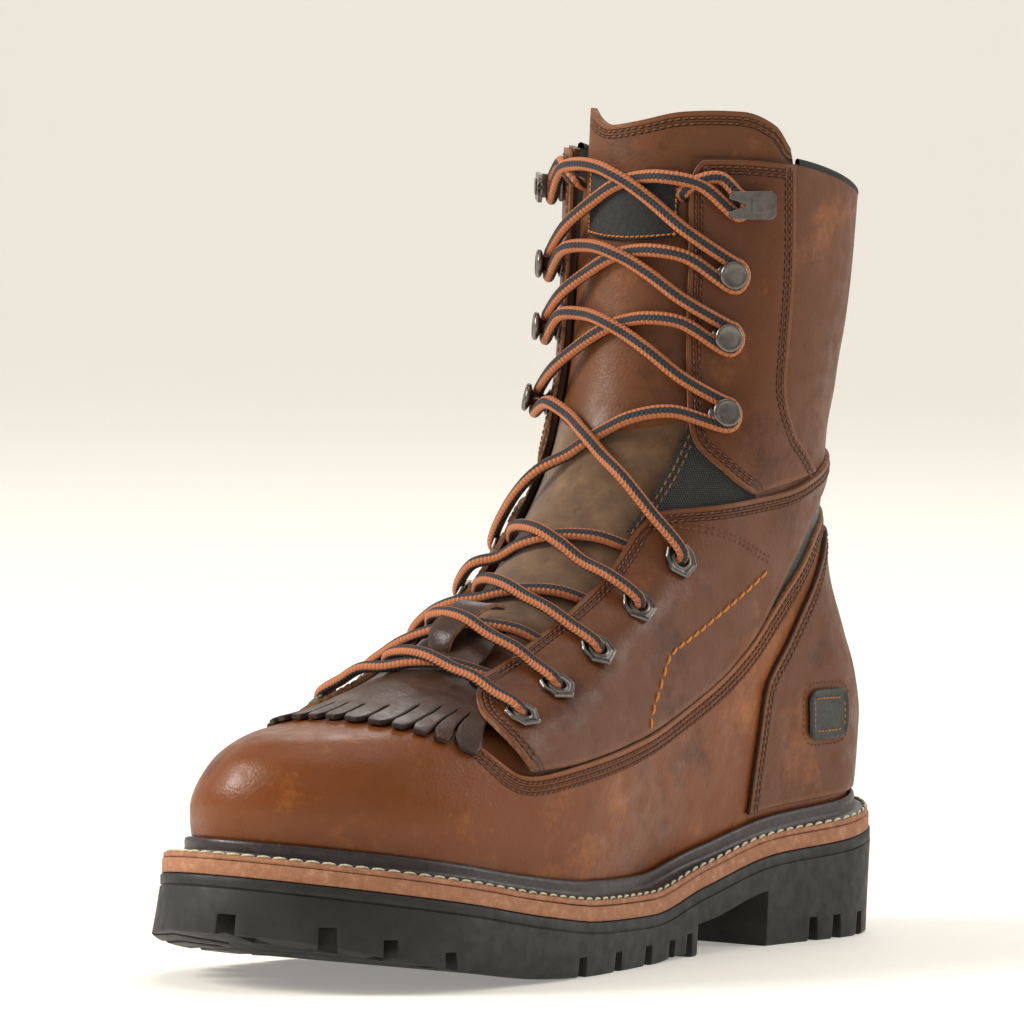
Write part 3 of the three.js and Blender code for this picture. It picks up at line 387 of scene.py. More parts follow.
def surface(around, up):
    around, up = np.broadcast_arrays(np.asarray(around, float), np.asarray(up, float))
    shape = around.shape
    turn = around.ravel() % 2
    up = up.ravel()
    side = np.where(turn <= 1, 1.0, -1.0)
    along = 0.5 - 0.5 * np.cos(np.pi * turn)
    y = mix(profile("front", up) * LENGTH, profile("back", up) * LENGTH, along)
    front_round = np.clip(1 - along / profile("frontRound", up), 0, 1)
    back_round = np.clip(1 - (1 - along) / profile("backRound", up), 0, 1)
    squareness = 2.25 - 0.25 * np.clip(up / SEAT_FADES_UP, 0, 1)
    rounded = np.sqrt(np.maximum(0, 1 - front_round**squareness))
    rounded = rounded * np.sqrt(np.maximum(0, 1 - back_round**2))
    x = swing(y) * np.clip(1 - up / SWING_ENDS_UP, 0, 1) + side * level_width(up, side, along) * rounded
    toe_z = feather(np.array([TOE_Y]))[0]
    heel_z = feather(np.array([HEEL_Y]))[0]
    front_z = mix(toe_z, SHAFT_FRONT, profile("frontRise", up))
    back_z = mix(heel_z, SHAFT_BACK, profile("backRise", up))
    chord = mix(toe_z, heel_z, (y - TOE_Y) / (HEEL_Y - TOE_Y))
    fade = np.clip(1 - up / SEAT_FADES_UP, 0, 1) ** 1.5
    high = smooth(up, SHAFT_ENDS, 1)
    crown = COLLAR_CROWN * 6.75 * along * (1 - along) ** 2
    tilt = INNER_RISE * (0.5 - x / SHAFT_WIDTH)
    z = mix(front_z, back_z, along) + (feather(y) - chord) * fade + (crown + tilt) * high
    return np.stack([x, y, z], -1).reshape(shape + (3,))


def unit(vectors):
    return vectors / np.maximum(np.linalg.norm(vectors, axis=-1, keepdims=True), 1e-12)


def outward(around, up):
    level = np.clip(up, STEP, 1 - STEP)
    across = surface(around + STEP, level) - surface(around - STEP, level)
    rising = surface(around, level + STEP) - surface(around, level - STEP)
    return unit(np.cross(across, rising))


def beyond(around, up):
    top = surface(around, np.minimum(up, 1))
    over = np.maximum(np.asarray(up, float) - 1, 0)[..., None] / STEP
    edge = surface(around, 1.0)
    return top + (edge - surface(around, 1 - STEP)) * over


# Soft troughs where the leather gives: from one place to another, depth and width
CREASES = {
    "columns": ["around", "up", "toAround", "toUp", "depth", "width"],
    "rows": [
        [0.18, 0.40, 0.46, 0.24, 0.5, 5], [0.40, 0.205, 0.56, 0.185, 0.5, 6],
        [0.30, 0.60, 0.52, 0.52, 0.5, 6], [0.44, 0.66, 0.66, 0.60, 0.7, 7],
        [0.55, 0.72, 0.80, 0.70, 0.9, 9], [0.62, 0.79, 0.90, 0.77, 0.6, 9],
        [0.60, 0.36, 0.50, 0.45, 0.4, 7], [0.28, 0.73, 0.42, 0.70, 0.4, 6],
    ],
}


def relief(around, up, points):
    total = np.zeros(points.shape[:-1])
    for row in CREASES["rows"]:
        a0, u0, a1, u1, depth, width = row
        for side in (1, -1):
            start = surface(side * a0, u0)
            end = surface(side * a1, u1)
            line = end - start
            t = np.clip(((points - start) @ line) / (line @ line), 0, 1)
            away = np.linalg.norm(points - start - t[..., None] * line, axis=-1)
            total -= depth * np.exp(-((away / width) ** 2))
    return total


def last(around, up, lift=0.0, creased=True):
    around, up = np.broadcast_arrays(np.asarray(around, float), np.asarray(up, float))
    points = beyond(around, up)
    height = np.asarray(lift, float) + (relief(around, up, points) if creased else 0)
    return points + outward(around, up) * np.broadcast_to(height, around.shape)[..., None]


def flap_lift(around, up):
    low = 1 - smooth(up, 0.44, 0.56)
    front = 1 - smooth(np.abs(around), 0.31, 0.44)
    return FLAP_RISE * low * front


def kiltie_under(up):
    return mix(VAMP + CURVED_GAP, 1, smooth(up, 0.41, 0.50))


def throat_along(point):
    return (point[..., 1] + point[..., 2]) * math.sqrt(0.5)


# The place of the throat's edge at each level, on one side
def throat_edge(levels, side):
    low = np.zeros_like(levels)
    high = np.full_like(levels, 0.5)
    for _ in range(30):
        middle = (low + high) / 2
        point = surface(side * middle, levels)
        along = throat_along(point) / LENGTH
        half = np.where(along < THROAT["rows"][0][0], 0, throat_half("half", along))
        inside = np.abs(point[..., 0]) < half * LENGTH
        low = np.where(inside, middle, low)
        high = np.where(inside, high, middle)
    return (low + high) / 2


# Meshes
def metres(points):
    return (np.asarray(points, float) + SHIFT) * 1e-3


def piece(name, points, faces, materials, facts=None, replaced=()):
    mesh = bpy.data.meshes.new(name)
    mesh.from_pydata(metres(points).tolist(), [], [tuple(face) for face in faces])
    for key, values in (facts or {}).items():
        attribute = mesh.attributes.new(key, "FLOAT", "POINT")
        attribute.data.foreach_set("value", np.asarray(values, np.float32).ravel())
    mesh.shade_smooth()
    for material in materials:
        mesh.materials.append(material)
    obj = bpy.data.objects.new(name, mesh)
    bpy.context.scene.collection.objects.link(obj)
    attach(obj, "root")
    if replaced:
        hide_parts(*replaced)
    return obj


def quads(rows, columns, wraps=False):
    i = np.arange(rows if wraps else rows - 1)[:, None]
    j = np.arange(columns - 1)[None, :]
    k = (i + 1) % rows
    corners = [i * columns + j, k * columns + j, k * columns + j + 1, i * columns + j + 1]
    return np.stack(np.broadcast_arrays(*corners), -1).reshape(-1, 4)


def resample(points, spacing):
    lengths = np.linalg.norm(np.diff(points, axis=0), axis=1)
    along = np.concatenate([[0], np.cumsum(lengths)])
    count = max(2, int(round(along[-1] / spacing)) + 1)
    places = np.linspace(0, along[-1], count)
    return np.stack([np.interp(places, along, points[:, i]) for i in range(points.shape[1])], 1)


def distance_to(points, line):
    line = resample(line, 0.5)
    tree = KDTree(len(line))
    for i, spot in enumerate(line):
        tree.insert(spot, i)
    tree.balance()
    found = np.array([tree.find(spot)[2] for spot in points.reshape(-1, 3)])
    return found.reshape(points.shape[:-1])


def rim_of(grid, side):
    return {"start": grid[0], "end": grid[-1], "low": grid[:, 0], "high": grid[:, -1]}[side]


def facing(points, faces, normals):
    first = points.reshape(-1, 3)[faces[:, :3]]
    cross = np.cross(first[:, 1] - first[:, 0], first[:, 2] - first[:, 0])
    along = (cross * normals.reshape(-1, 3)[faces[:, 0]]).sum()
    return faces if along > 0 else faces[:, ::-1]


def thicken(obj, thick, rim=0.5, inner=0, edge=0):
    solid = obj.modifiers.new("thickness", "SOLIDIFY")
    solid.thickness = thick * 1e-3
    solid.offset = -1
    solid.material_offset = inner
    solid.material_offset_rim = edge
    bevel = obj.modifiers.new("edge", "BEVEL")
    bevel.width = rim * 1e-3
    bevel.segments = 3
    bevel.limit_method = "ANGLE"
    bevel.angle_limit = math.radians(50)
    return obj


def sheet(name, places, lift, thick, materials, seams=(), replaced=(), rim=0.5, inner=0, edge=0):
    around = places[..., 0]
    up = places[..., 1]
    points = last(around, up, lift(around, up))
    faces = facing(points, quads(*around.shape), outward(around, up))
    borders = [distance_to(points, rim_of(points, side)) for side in ("start", "end", "low", "high")]
    seam = np.full(around.shape, 50.0)
    for side in seams:
        seam = np.minimum(seam, distance_to(points, rim_of(points, side)))
    facts = {"edge": np.min(borders, axis=0), "seam": seam}
    obj = piece(name, points.reshape(-1, 3), faces, materials, facts, replaced)
    return thicken(obj, thick, rim, inner, edge)


def ruled(table, names, across, along):
    """Places between two edges of a panel: across from one edge to the other, along the rows."""
    rows = table["rows"]
    columns = table["columns"]
    t = np.linspace(0, 1, along)
    spots = np.linspace(0, 1, len(rows))
    a, u, b, v = [monotone(spots, [row[columns.index(n)] for row in rows], t) for n in names]
    s = np.linspace(0, 1, across)[:, None]
    return np.stack([mix(a, b, s), mix(u, v, s)], -1)


# Stitches
threads = {}


def inset(path, distance, hint):
    """The path moved over the surface by a distance, to the side where the hint lies."""
    path = np.array(path, float)
    steps = max(1, int(math.ceil(distance / 0.8)))
    turned = 0
    for _ in range(steps):
        a = path[:, 0]
        u = path[:, 1]
        points = surface(a, u)
        tangent = unit(np.gradient(points, axis=0))
        side = np.cross(outward(a, u), tangent)
        if not turned:
            toward = surface(hint[:, 0], hint[:, 1]) - points
            turned = np.sign((side * toward).sum())
        side = side * turned
        by_a = (surface(a + STEP, u) - surface(a - STEP, u)) / (2 * STEP)
        by_u = (surface(a, np.minimum(u + STEP, 1)) - surface(a, np.minimum(u + STEP, 1) - 2 * STEP)) / (2 * STEP)
        aa = (by_a * by_a).sum(1)
        uu = (by_u * by_u).sum(1)
        au = (by_a * by_u).sum(1)
        ra = (by_a * side).sum(1)
        ru = (by_u * side).sum(1)
        det = aa * uu - au * au
        path[:, 0] += distance / steps * (ra * uu - ru * au) / det
        path[:, 1] += distance / steps * (ru * aa - ra * au) / det
    return path


def stitch_line(colour, path, lift, pitch=2.5, radius=0.36, fill=0.78, slant=0.12, flat=0.8):
    """Stitches along a path on the surface."""
    dense = resample(path, 0.004)
    points = last(dense[:, 0], dense[:, 1], lift(dense[:, 0], dense[:, 1]))
    joined = resample(np.concatenate([points, outward(dense[:, 0], dense[:, 1])], 1), 0.25)
    joined = joined[:, :3], unit(joined[:, 3:])
    add_stitches(colour, joined[0], joined[1], pitch, radius, fill, slant, flat)


def add_stitches(colour, points, normals, pitch, radius, fill, slant, flat):
    lengths = np.linalg.norm(np.diff(points, axis=0), axis=1)
    along = np.concatenate([[0], np.cumsum(lengths)])
    count = max(1, int(along[-1] // pitch))
    middles = (np.arange(count) + 0.5) * along[-1] / count

    def at(values, where):
        return np.stack([np.interp(where, along, values[:, i]) for i in range(3)], 1)

    centre = at(points, middles)
    normal = unit(at(normals, middles))
    direction = unit(at(points, middles + 0.6) - at(points, middles - 0.6))
    across = np.cross(normal, direction)
    spots = np.array([-1, -0.72, 0, 0.72, 1])
    girths = np.array([0.30, 0.85, 1, 0.85, 0.30])
    heights = np.array([-0.55, 0.15, 0.45, 0.15, -0.55])
    half = fill * pitch / 2
    turns = np.arange(6) * np.pi / 3
    ring = centre[:, None, None] + direction[:, None, None] * (spots * half)[None, :, None, None]
    ring = ring + across[:, None, None] * (spots * slant)[None, :, None, None]
    ring = ring + normal[:, None, None] * (heights * radius)[None, :, None, None]
    girth_of = (girths * radius)[None, :, None, None]
    ring = ring + across[:, None, None] * girth_of * np.cos(turns)[None, None, :, None]
    ring = ring + normal[:, None, None] * girth_of * flat * np.sin(turns)[None, None, :, None]
    threads.setdefault(colour, []).append(ring.reshape(-1, 3))


def stitched(places, side, offsets, lift, colour="brown", trim=(0.0, 1.0), **style):
    """Rows of stitches that follow one edge of a panel at given distances."""
    border = rim_of(places, side)
    step = {"start": (1, 0), "end": (-2, 0), "low": (0, 1), "high": (0, -2)}[side]
    inner = places[step[0]] if side in ("start", "end") else places[:, step[1]]
    first = int(trim[0] * len(border))
    stop = max(first + 2, int(math.ceil(trim[1] * len(border))))
    for offset in offsets:
        moved = inset(border, offset, inner)
        stitch_line(colour, moved[first:stop], lift, **style)


def sew(colour, name, material):
    rings = np.concatenate(threads[colour])
    count = len(rings) // 30
    one = []
    for i in range(4):
        for j in range(6):
            k = (j + 1) % 6
            one.append([i * 6 + j, i * 6 + k, (i + 1) * 6 + k, (i + 1) * 6 + j])
    faces = (np.array(one)[None] + 30 * np.arange(count)[:, None, None]).reshape(-1, 4)
    return piece(name, rings, faces, [material])


# Materials
class Shader:
    def __init__(self, name):
        self.material = bpy.data.materials.new(name)
        self.material.use_nodes = True
        self.tree = self.material.node_tree
        self.shader = self.tree.nodes["Principled BSDF"]

    def put(self, socket, value):
        if isinstance(value, bpy.types.NodeSocket):
            self.tree.links.new(value, socket)
        elif isinstance(value, tuple) and len(value) == 3 and len(socket.default_value) == 4:
            socket.default_value = (*value, 1)
        else:
            socket.default_value = value

    def node(self, kind, inputs=None, **settings):
        made = self.tree.nodes.new(kind)
        for key, value in settings.items():
            setattr(made, key, value)
        for key, value in (inputs or {}).items():
            self.put(made.inputs[key], value)
        return made

    def coords(self, scale=(1, 1, 1)):
        place = self.node("ShaderNodeTexCoord").outputs["Object"]
        if scale == (1, 1, 1):
            return place
        return self.node("ShaderNodeMapping", {"Vector": place, "Scale": scale}).outputs[0]

    def noise(self, scale, detail=2.0, rough=0.5, where=None, distortion=0.0):
        inputs = {"Scale": scale, "Detail": detail, "Roughness": rough, "Distortion": distortion}
        inputs["Vector"] = where or self.coords()
        return self.node("ShaderNodeTexNoise", inputs).outputs["Fac"]

    def cells(self, scale, where=None, feature="F1"):
        inputs = {"Scale": scale, "Vector": where or self.coords()}
        return self.node("ShaderNodeTexVoronoi", inputs, feature=feature).outputs["Distance"]

    def fact(self, name):
        return self.node("ShaderNodeAttribute", attribute_name=name).outputs["Fac"]

    def sum(self, kind, a, b=0.0, c=0.0):
        made = self.node("ShaderNodeMath", operation=kind)
        for socket, value in zip(made.inputs, (a, b, c)):
            self.put(socket, value)
        return made.outputs[0]

    def span(self, value, low, high, to_low=0.0, to_high=1.0):
        inputs = {"Value": value, "From Min": low, "From Max": high, "To Min": to_low, "To Max": to_high}
        made = self.node("ShaderNodeMapRange", inputs, interpolation_type="SMOOTHSTEP")
        return made.outputs["Result"]

    def blend(self, share_of, a, b, kind="MIX"):
        made = self.node("ShaderNodeMix", data_type="RGBA", blend_type=kind)
        self.put(made.inputs[0], share_of)
        self.put(made.inputs[6], a)
        self.put(made.inputs[7], b)
        return made.outputs[2]

    def ramp(self, value, stops):
        made = self.node("ShaderNodeValToRGB", {"Fac": value})
        elements = made.color_ramp.elements
        while len(elements) < len(stops):
            elements.new(0.5)
        for element, (place, colour) in zip(elements, stops):
            element.position = place
            element.color = (*colour, 1)
        return made.outputs["Color"]

    def bump(self, height, depth, strength=1.0, normal=None):
        inputs = {"Height": height, "Distance": depth * 1e-3, "Strength": strength}
        if normal is not None:
            inputs["Normal"] = normal
        return self.node("ShaderNodeBump", inputs).outputs["Normal"]

    def finish(self, **inputs):
        for key, value in inputs.items():
            self.put(self.shader.inputs[key.replace("_", " ")], value)
        return self.material


def leather(name, dark, base, light, rows=(), gloss=0.5, grain=1.0, wear_and_highlight=0.5):
    """Oiled leather: patches of colour, pores, painted shade in the stitch grooves, a painted highlight that pales the
    face towards its edges, and painted shade on its last millimetre.
    """
    s = Shader(name)
    wide = s.noise(16, 3, 0.55, distortion=0.4)
    patch = s.noise(70, 4, 0.6)
    fleck = s.noise(420, 3, 0.6)
    tone = s.sum("MULTIPLY_ADD", patch, 0.35, s.sum("MULTIPLY", wide, 0.65))
    tone = s.sum("MULTIPLY_ADD", fleck, 0.16, s.sum("SUBTRACT", tone, 0.08))
    colour = s.ramp(tone, [(0.33, dark), (0.47, base), (0.57, base), (0.70, light)])
    edge = s.fact("edge")
    # Painted highlight: the face turns paler towards its edges, standing in for light on the rolled edges.
    colour = s.blend(s.span(edge, 0.2, 2.4, wear_and_highlight, 0), colour, light)
    # Painted shade: the last millimetre before the edge turns darker.
    colour = s.blend(s.span(edge, 0.9, 0.15, 0, 0.55), colour, dark)
    groove = None
    seam = s.fact("seam")
    for row in rows:
        away = s.sum("ABSOLUTE", s.sum("SUBTRACT", seam, row))
        here = s.span(away, 0.28, 0.75, 1, 0)
        groove = here if groove is None else s.sum("MAXIMUM", groove, here)
    if groove is not None:
        # Painted shade: the face darkens along the stitch rows, in the grooves where shade falls.
        colour = s.blend(s.sum("MULTIPLY", groove, 0.62), colour, (0.035, 0.014, 0.007))
    pores = s.cells(900)
    fine = s.noise(1500, 2, 0.6)
    height = s.sum("MULTIPLY_ADD", fine, 0.5, pores)
    normal = s.bump(height, 0.09 * grain, 0.7)
    soft = s.noise(60, 3, 0.5)
    normal = s.bump(soft, 0.9, 0.35, normal)
    if groove is not None:
        normal = s.bump(groove, -0.5, 0.9, normal)
    rough = s.span(s.noise(150, 3), 0.3, 0.7, gloss - 0.07, gloss + 0.10)
    return s.finish(Base_Color=colour, Roughness=rough, Normal=normal, Specular_IOR_Level=0.32)


def plain(name, dark, light, scale, rough, bump_scale=900, depth=0.06, metal=0.0):
    s = Shader(name)
    mottle = s.noise(scale, 4, 0.6)
    colour = s.ramp(mottle, [(0.35, dark), (0.65, light)])
    height = s.noise(bump_scale, 3, 0.6)
    roughness = s.span(s.noise(scale * 3, 3), 0.3, 0.7, rough - 0.08, rough + 0.08)
    return s.finish(
        Base_Color=colour, Roughness=roughness, Normal=s.bump(height, depth, 0.6), Metallic=metal
    )


def weave(name, dark, light, pitch=1.1, depth=0.18):
    """A woven textile, seen from the side."""
    s = Shader(name)
    apart = s.node("ShaderNodeSeparateXYZ", {"Vector": s.coords()})
    turns = 2 * math.pi * 1000 / pitch
    warp = s.sum("SINE", s.sum("MULTIPLY", s.sum("ADD", apart.outputs[1], apart.outputs[2]), turns * 0.7))
    weft = s.sum("SINE", s.sum("MULTIPLY", s.sum("SUBTRACT", apart.outputs[1], apart.outputs[2]), turns * 0.7))
    height = s.sum("MULTIPLY", warp, weft)
    colour = s.blend(s.span(height, -0.6, 0.8), dark, light)
    return s.finish(Base_Color=colour, Roughness=0.85, Normal=s.bump(height, depth, 0.9))


def nubuck():
    s = Shader("nubuck")
    mottle = s.noise(120, 5, 0.65)
    colour = s.ramp(mottle, [(0.32, (0.095, 0.048, 0.020)), (0.55, NUBUCK), (0.75, (0.215, 0.120, 0.055))])
    return s.finish(
        Base_Color=colour, Roughness=0.92, Normal=s.bump(s.noise(900, 4, 0.7), 0.15, 0.8),
        Sheen_Weight=0.35, Sheen_Roughness=0.5,
    )


def midsole_shade():
    s = Shader("midsole")
    crumb = s.cells(1500)
    mottle = s.noise(300, 4, 0.7)
    colour = s.ramp(mottle, [(0.3, (0.30, 0.125, 0.065)), (0.55, TAN), (0.8, (0.58, 0.34, 0.21))])
    normal = s.bump(s.sum("ADD", crumb, mottle), 0.14, 0.8)
    return s.finish(Base_Color=colour, Roughness=0.82, Normal=normal)


def rubber_shade():
    s = Shader("rubber")
    dust = s.noise(45, 5, 0.65)
    colour = s.ramp(dust, [(0.40, RUBBER), (0.78, (0.020, 0.020, 0.017))])
    height = s.noise(1300, 3, 0.65, where=s.coords((1, 1, 0.35)))
    rough = s.span(s.noise(220, 3), 0.3, 0.7, 0.52, 0.68)
    return s.finish(Base_Color=colour, Roughness=rough, Normal=s.bump(height, 0.08, 0.6))


def braid():
    """A round braided lace: a black stripe on each face between copper edges."""
    s = Shader("lace")
    across = s.fact("across")
    along = s.fact("along")
    phase = s.sum("ADD", s.sum("MULTIPLY", along, 1 / YARN), s.sum("MULTIPLY", across, 0.9))
    wave = s.sum("PINGPONG", phase, 0.5)
    limit = s.sum("MULTIPLY_ADD", wave, 0.50, 0.50)
    mask = s.span(s.sum("SUBTRACT", across, limit), -0.035, 0.035)
    yarn = s.span(wave, 0.02, 0.14, 0.25, 1)
    copper = s.blend(yarn, (0.16, 0.045, 0.018), COPPER)
    black = s.blend(yarn, (0.004, 0.004, 0.005), (0.020, 0.022, 0.026))
    colour = s.blend(mask, black, copper)
    normal = s.bump(wave, 0.55, 0.9)
    fibre = s.noise(2600, 2)
    return s.finish(Base_Color=colour, Roughness=0.72, Normal=s.bump(fibre, 0.05, 0.5, normal))


def thread_shade(name, colour, deep):
    s = Shader(name)
    twist = s.noise(1800, 2)
    return s.finish(
        Base_Color=s.ramp(twist, [(0.3, deep), (0.65, colour)]), Roughness=0.6,
        Normal=s.bump(twist, 0.06, 0.6),
    )


def metal_shade():
    s = Shader("gunmetal")
    wear_and_highlight = s.noise(260, 4, 0.6)
    colour = s.ramp(wear_and_highlight, [(0.35, (0.15, 0.132, 0.12)), (0.65, METAL)])
    rough = s.span(s.noise(500, 3), 0.3, 0.7, 0.24, 0.40)
    return s.finish(Base_Color=colour, Roughness=rough, Metallic=1.0, Normal=s.bump(wear_and_highlight, 0.03, 0.4))


DOUBLE = (2.3, 4.1)
TRIPLE = (2.4, 4.1, 5.8)
skin = leather("leather", BROWN_DARK, BROWN, BROWN_LIGHT, gloss=0.50, wear_and_highlight=0.0)
vamp_skin = leather("leather_vamp", (0.072, 0.019, 0.005), (0.185, 0.051, 0.010), (0.340, 0.110, 0.024), TRIPLE, 0.38)
panel_skin = leather("leather_panel", BROWN_DARK, BROWN, BROWN_LIGHT, DOUBLE, 0.44)
counter_skin = leather("leather_counter", BROWN_DARK, BROWN, BROWN_LIGHT, DOUBLE, 0.48)
tongue_skin = leather("leather_tongue", (0.060, 0.019, 0.007), (0.145, 0.050, 0.016), (0.270, 0.100, 0.034), DOUBLE, 0.44)
kiltie_skin = leather("leather_kiltie", (0.024, 0.012, 0.009), KILTIE_BROWN, (0.110, 0.062, 0.042), (), 0.36, wear_and_highlight=0.3)
cut_edge = plain("cut_edge", (0.16, 0.06, 0.025), (0.34, 0.16, 0.075), 500, 0.8)
dark_edge = plain("dark_edge", (0.02, 0.010, 0.007), (0.05, 0.026, 0.017), 500, 0.75)
lining = weave("lining", (0.012, 0.012, 0.012), (0.05, 0.05, 0.048))
textile = weave("mesh", (0.008, 0.008, 0.007), (0.060, 0.062, 0.055), 0.95, 0.3)
welt_skin = plain("welt", (0.018, 0.011, 0.010), (0.042, 0.026, 0.024), 260, 0.42, 700, 0.12)
tan_side = midsole_shade()
rubber = rubber_shade()
suede = nubuck()
steel = metal_shade()
lace_shade = braid()
brown_thread = thread_shade("thread_brown", THREAD, (0.06, 0.02, 0.008))
orange_thread = thread_shade("thread_orange", ORANGE, (0.45, 0.14, 0.012))
cream_thread = thread_shade("thread_cream", CREAM, (0.45, 0.38, 0.22))
tan_thread = thread_shade("thread_tan", (0.26, 0.115, 0.045), (0.10, 0.04, 0.015))
label_black = plain("label", (0.006, 0.006, 0.006), (0.018, 0.018, 0.017), 900, 0.75, 2200, 0.10)
badge_black = plain("badge", (0.012, 0.014, 0.012), (0.028, 0.030, 0.026), 300, 0.5)
footbed = weave("footbed", (0.02, 0.019, 0.018), (0.06, 0.058, 0.054), 1.6)


def level(value):
    return lambda around, up: np.full(np.shape(around), float(value))


# Upper
def build_upper():
    rows = np.linspace(0, 1, 96)
    out = throat_edge(rows, 1)
    inner = throat_edge(rows, -1)
    s = np.linspace(0, 1, 220)[:, None]
    around = mix(out, 2 - inner, s)
    places = np.stack([around, np.broadcast_to(rows, around.shape)], -1)
    sheet("upper_shell", places, level(0), WALL, [skin, lining],
          replaced=["upper"], rim=0.4, inner=1)


def build_vamp():
    around = np.linspace(0, 2, 341)[:-1]
    folded = np.where(around <= 1, around, 2 - around)
    top = vamp_edge("up", folded)
    t = np.linspace(0, 1, 52)
    up = mix(0.0, top[:, None], t[None, :])
    where = np.broadcast_to(around[:, None], up.shape)
    points = last(where, up, VAMP)
    faces = facing(points, quads(*up.shape, wraps=True), outward(where, up))
    ridge = distance_to(points, np.concatenate([points[:, -1], points[:1, -1]]))
    facts = {"edge": ridge, "seam": ridge}
    obj = piece("vamp", points.reshape(-1, 3), faces, [vamp_skin, cut_edge], facts)
    thicken(obj, VAMP - 0.2, 0.6, edge=1)
    for side in (1, -1):
        line = np.linspace(0.245, 1.0, 170)
        path = np.stack([side * line, vamp_edge("up", line)], -1)
        hint = path - [0, 0.05]
        for row in TRIPLE:
            stitch_line("brown", inset(path, row, hint), level(VAMP))


def quarter_places(side):
    rows = [[*row[:2], row[2], float(vamp_edge("up", row[2])) + row[3]] for row in QUARTER["rows"]]
    table = {"columns": ["a", "u", "b", "v"], "rows": rows}
    places = ruled(table, ["a", "u", "b", "v"], 56, 110)
    return places * [side, 1]


def over_quarter(around, up):
    return CURVED_GAP + flap_lift(around, up) + PANEL


def build_quarter(name, side):
    places = quarter_places(side)
    sheet(f"quarter_{name}_panel", places, over_quarter, PANEL + 0.25, [panel_skin, lining, cut_edge],
          seams=["start", "low"], replaced=[f"quarter_{name}"], rim=0.45, inner=1, edge=2)
    stitched(places, "start", DOUBLE, over_quarter, trim=(0.02, 0.40))
    stitched(places, "start", DOUBLE, over_quarter, trim=(0.44, 1.0))
    stitched(places, "low", DOUBLE, over_quarter, trim=(0.02, 0.96))
    eyestay = [[0.282, 0.645], [0.358, 0.630], [0.486, 0.585], [0.600, 0.522]]
    path = smooth_path(eyestay, side)
    hint = path - [0, 0.05]
    stitch_line("brown", path, over_quarter)
    stitch_line("brown", inset(path, 1.8, hint), over_quarter)
    accent = smooth_path([[0.604, 0.500], [0.522, 0.438], [0.474, 0.386], [0.488, 0.240]], side)
    stitch_line("orange", accent, over_quarter, pitch=4.6, radius=0.62, fill=0.86, slant=0.3)


def smooth_path(places, side=1, count=60):
    places = np.array(places, float)
    t = np.linspace(0, 1, len(places))
    at = np.linspace(0, 1, count)
    return np.stack([side * monotone(t, places[:, 0], at), monotone(t, places[:, 1], at)], -1)


def build_shaft_panel(name, side):
    places = ruled(SHAFT_PANEL, ["from", "fromUp", "to", "toUp"], 40, 70)
    corner = np.clip(1 - np.linspace(0, 1, 40) / 0.16, 0, 1) ** 2.2
    places[..., 1] -= 0.020 * corner[:, None] * np.linspace(0, 1, 70)[None, :] ** 8
    places = places * [side, 1]
    over = level(CURVED_GAP + PANEL)
    sheet(f"shaft_{name}_panel", places, over, PANEL + 0.2, [panel_skin, lining, cut_edge],
          seams=["start", "end", "high"], replaced=[f"shaft_panel_{name}"], rim=0.45, inner=1, edge=2)
    stitched(places, "start", DOUBLE, over, trim=(0.03, 0.97))
    stitched(places, "end", DOUBLE, over, trim=(0.03, 1.0))
    stitched(places, "high", DOUBLE, over, trim=(0.08, 0.92))


def build_mesh_panel(name, side):
    rows = [[0.24, 0.64], [0.50, 0.625]], [[0.25, 0.70], [0.47, 0.66]], [[0.262, 0.76], [0.34, 0.74]]
    table = {"columns": ["a", "u", "b", "v"], "rows": [[*low, *high] for low, high in rows]}
    places = ruled(table, ["a", "u", "b", "v"], 24, 16) * [side, 1]
    sheet(f"ankle_mesh_{name}", places, level(0.35), 0.3, [textile], rim=0.05)
    for offset in (1.6, 3.4):
        stitched(places, "start", (offset,), level(0.35), colour="tan", pitch=3.0)


def build_flex():
    around = np.linspace(0.60, 1.40, 150)
    folded = np.where(around <= 1, around, 2 - around)
    low = vamp_edge("up", folded) - 0.01
    up = mix(low[:, None], low[:, None] + 0.10, np.linspace(0, 1, 10)[None, :])
    places = np.stack([np.broadcast_to(around[:, None], up.shape), up], -1)
    sheet("ankle_flex", places, level(0.5), 0.45, [badge_black], rim=0.05)


def build_counter():
    up = np.linspace(0.04, 0.51, 60)
    edge = counter_edge("around", up)
    s = np.linspace(0, 1, 90)[:, None]
    around = mix(edge, 2 - edge, s)
    places = np.stack([around, np.broadcast_to(up, around.shape)], -1)
    over = level(VAMP + CURVED_GAP + COUNTER)
    # Painted shade: the counter's cut edge takes the near-black edge colour, for the shadow in front of its raised
    # edge.
    sheet("counter_panel", places, over, COUNTER + 0.35, [counter_skin, lining, dark_edge],
          seams=["start", "end", "high"], replaced=["heel_counter"], rim=0.55, inner=1, edge=2)
    for side in ("start", "end"):
        stitched(places, side, DOUBLE, over, trim=(0.03, 0.97))
    stitched(places, "high", DOUBLE, over, trim=(0.04, 0.96))


def build_backstay():
    up = np.linspace(0.665, 0.995, 60)
    reach = 0.098
    s = np.linspace(-1, 1, 16)[:, None]
    around = 1 + s * reach * mix(1.0, 0.9, (up - 0.665) / 0.33)
    places = np.stack([around, np.broadcast_to(up, around.shape)], -1)
    over = level(CURVED_GAP + PANEL)
    sheet("backstay_strip", places, over, PANEL + 0.2, [panel_skin, lining, cut_edge],
          seams=["start", "end"], replaced=["backstay"], rim=0.45, inner=1, edge=2)
    for side in ("start", "end"):
        stitched(places, side, (2.3,), over, trim=(0.02, 0.98))


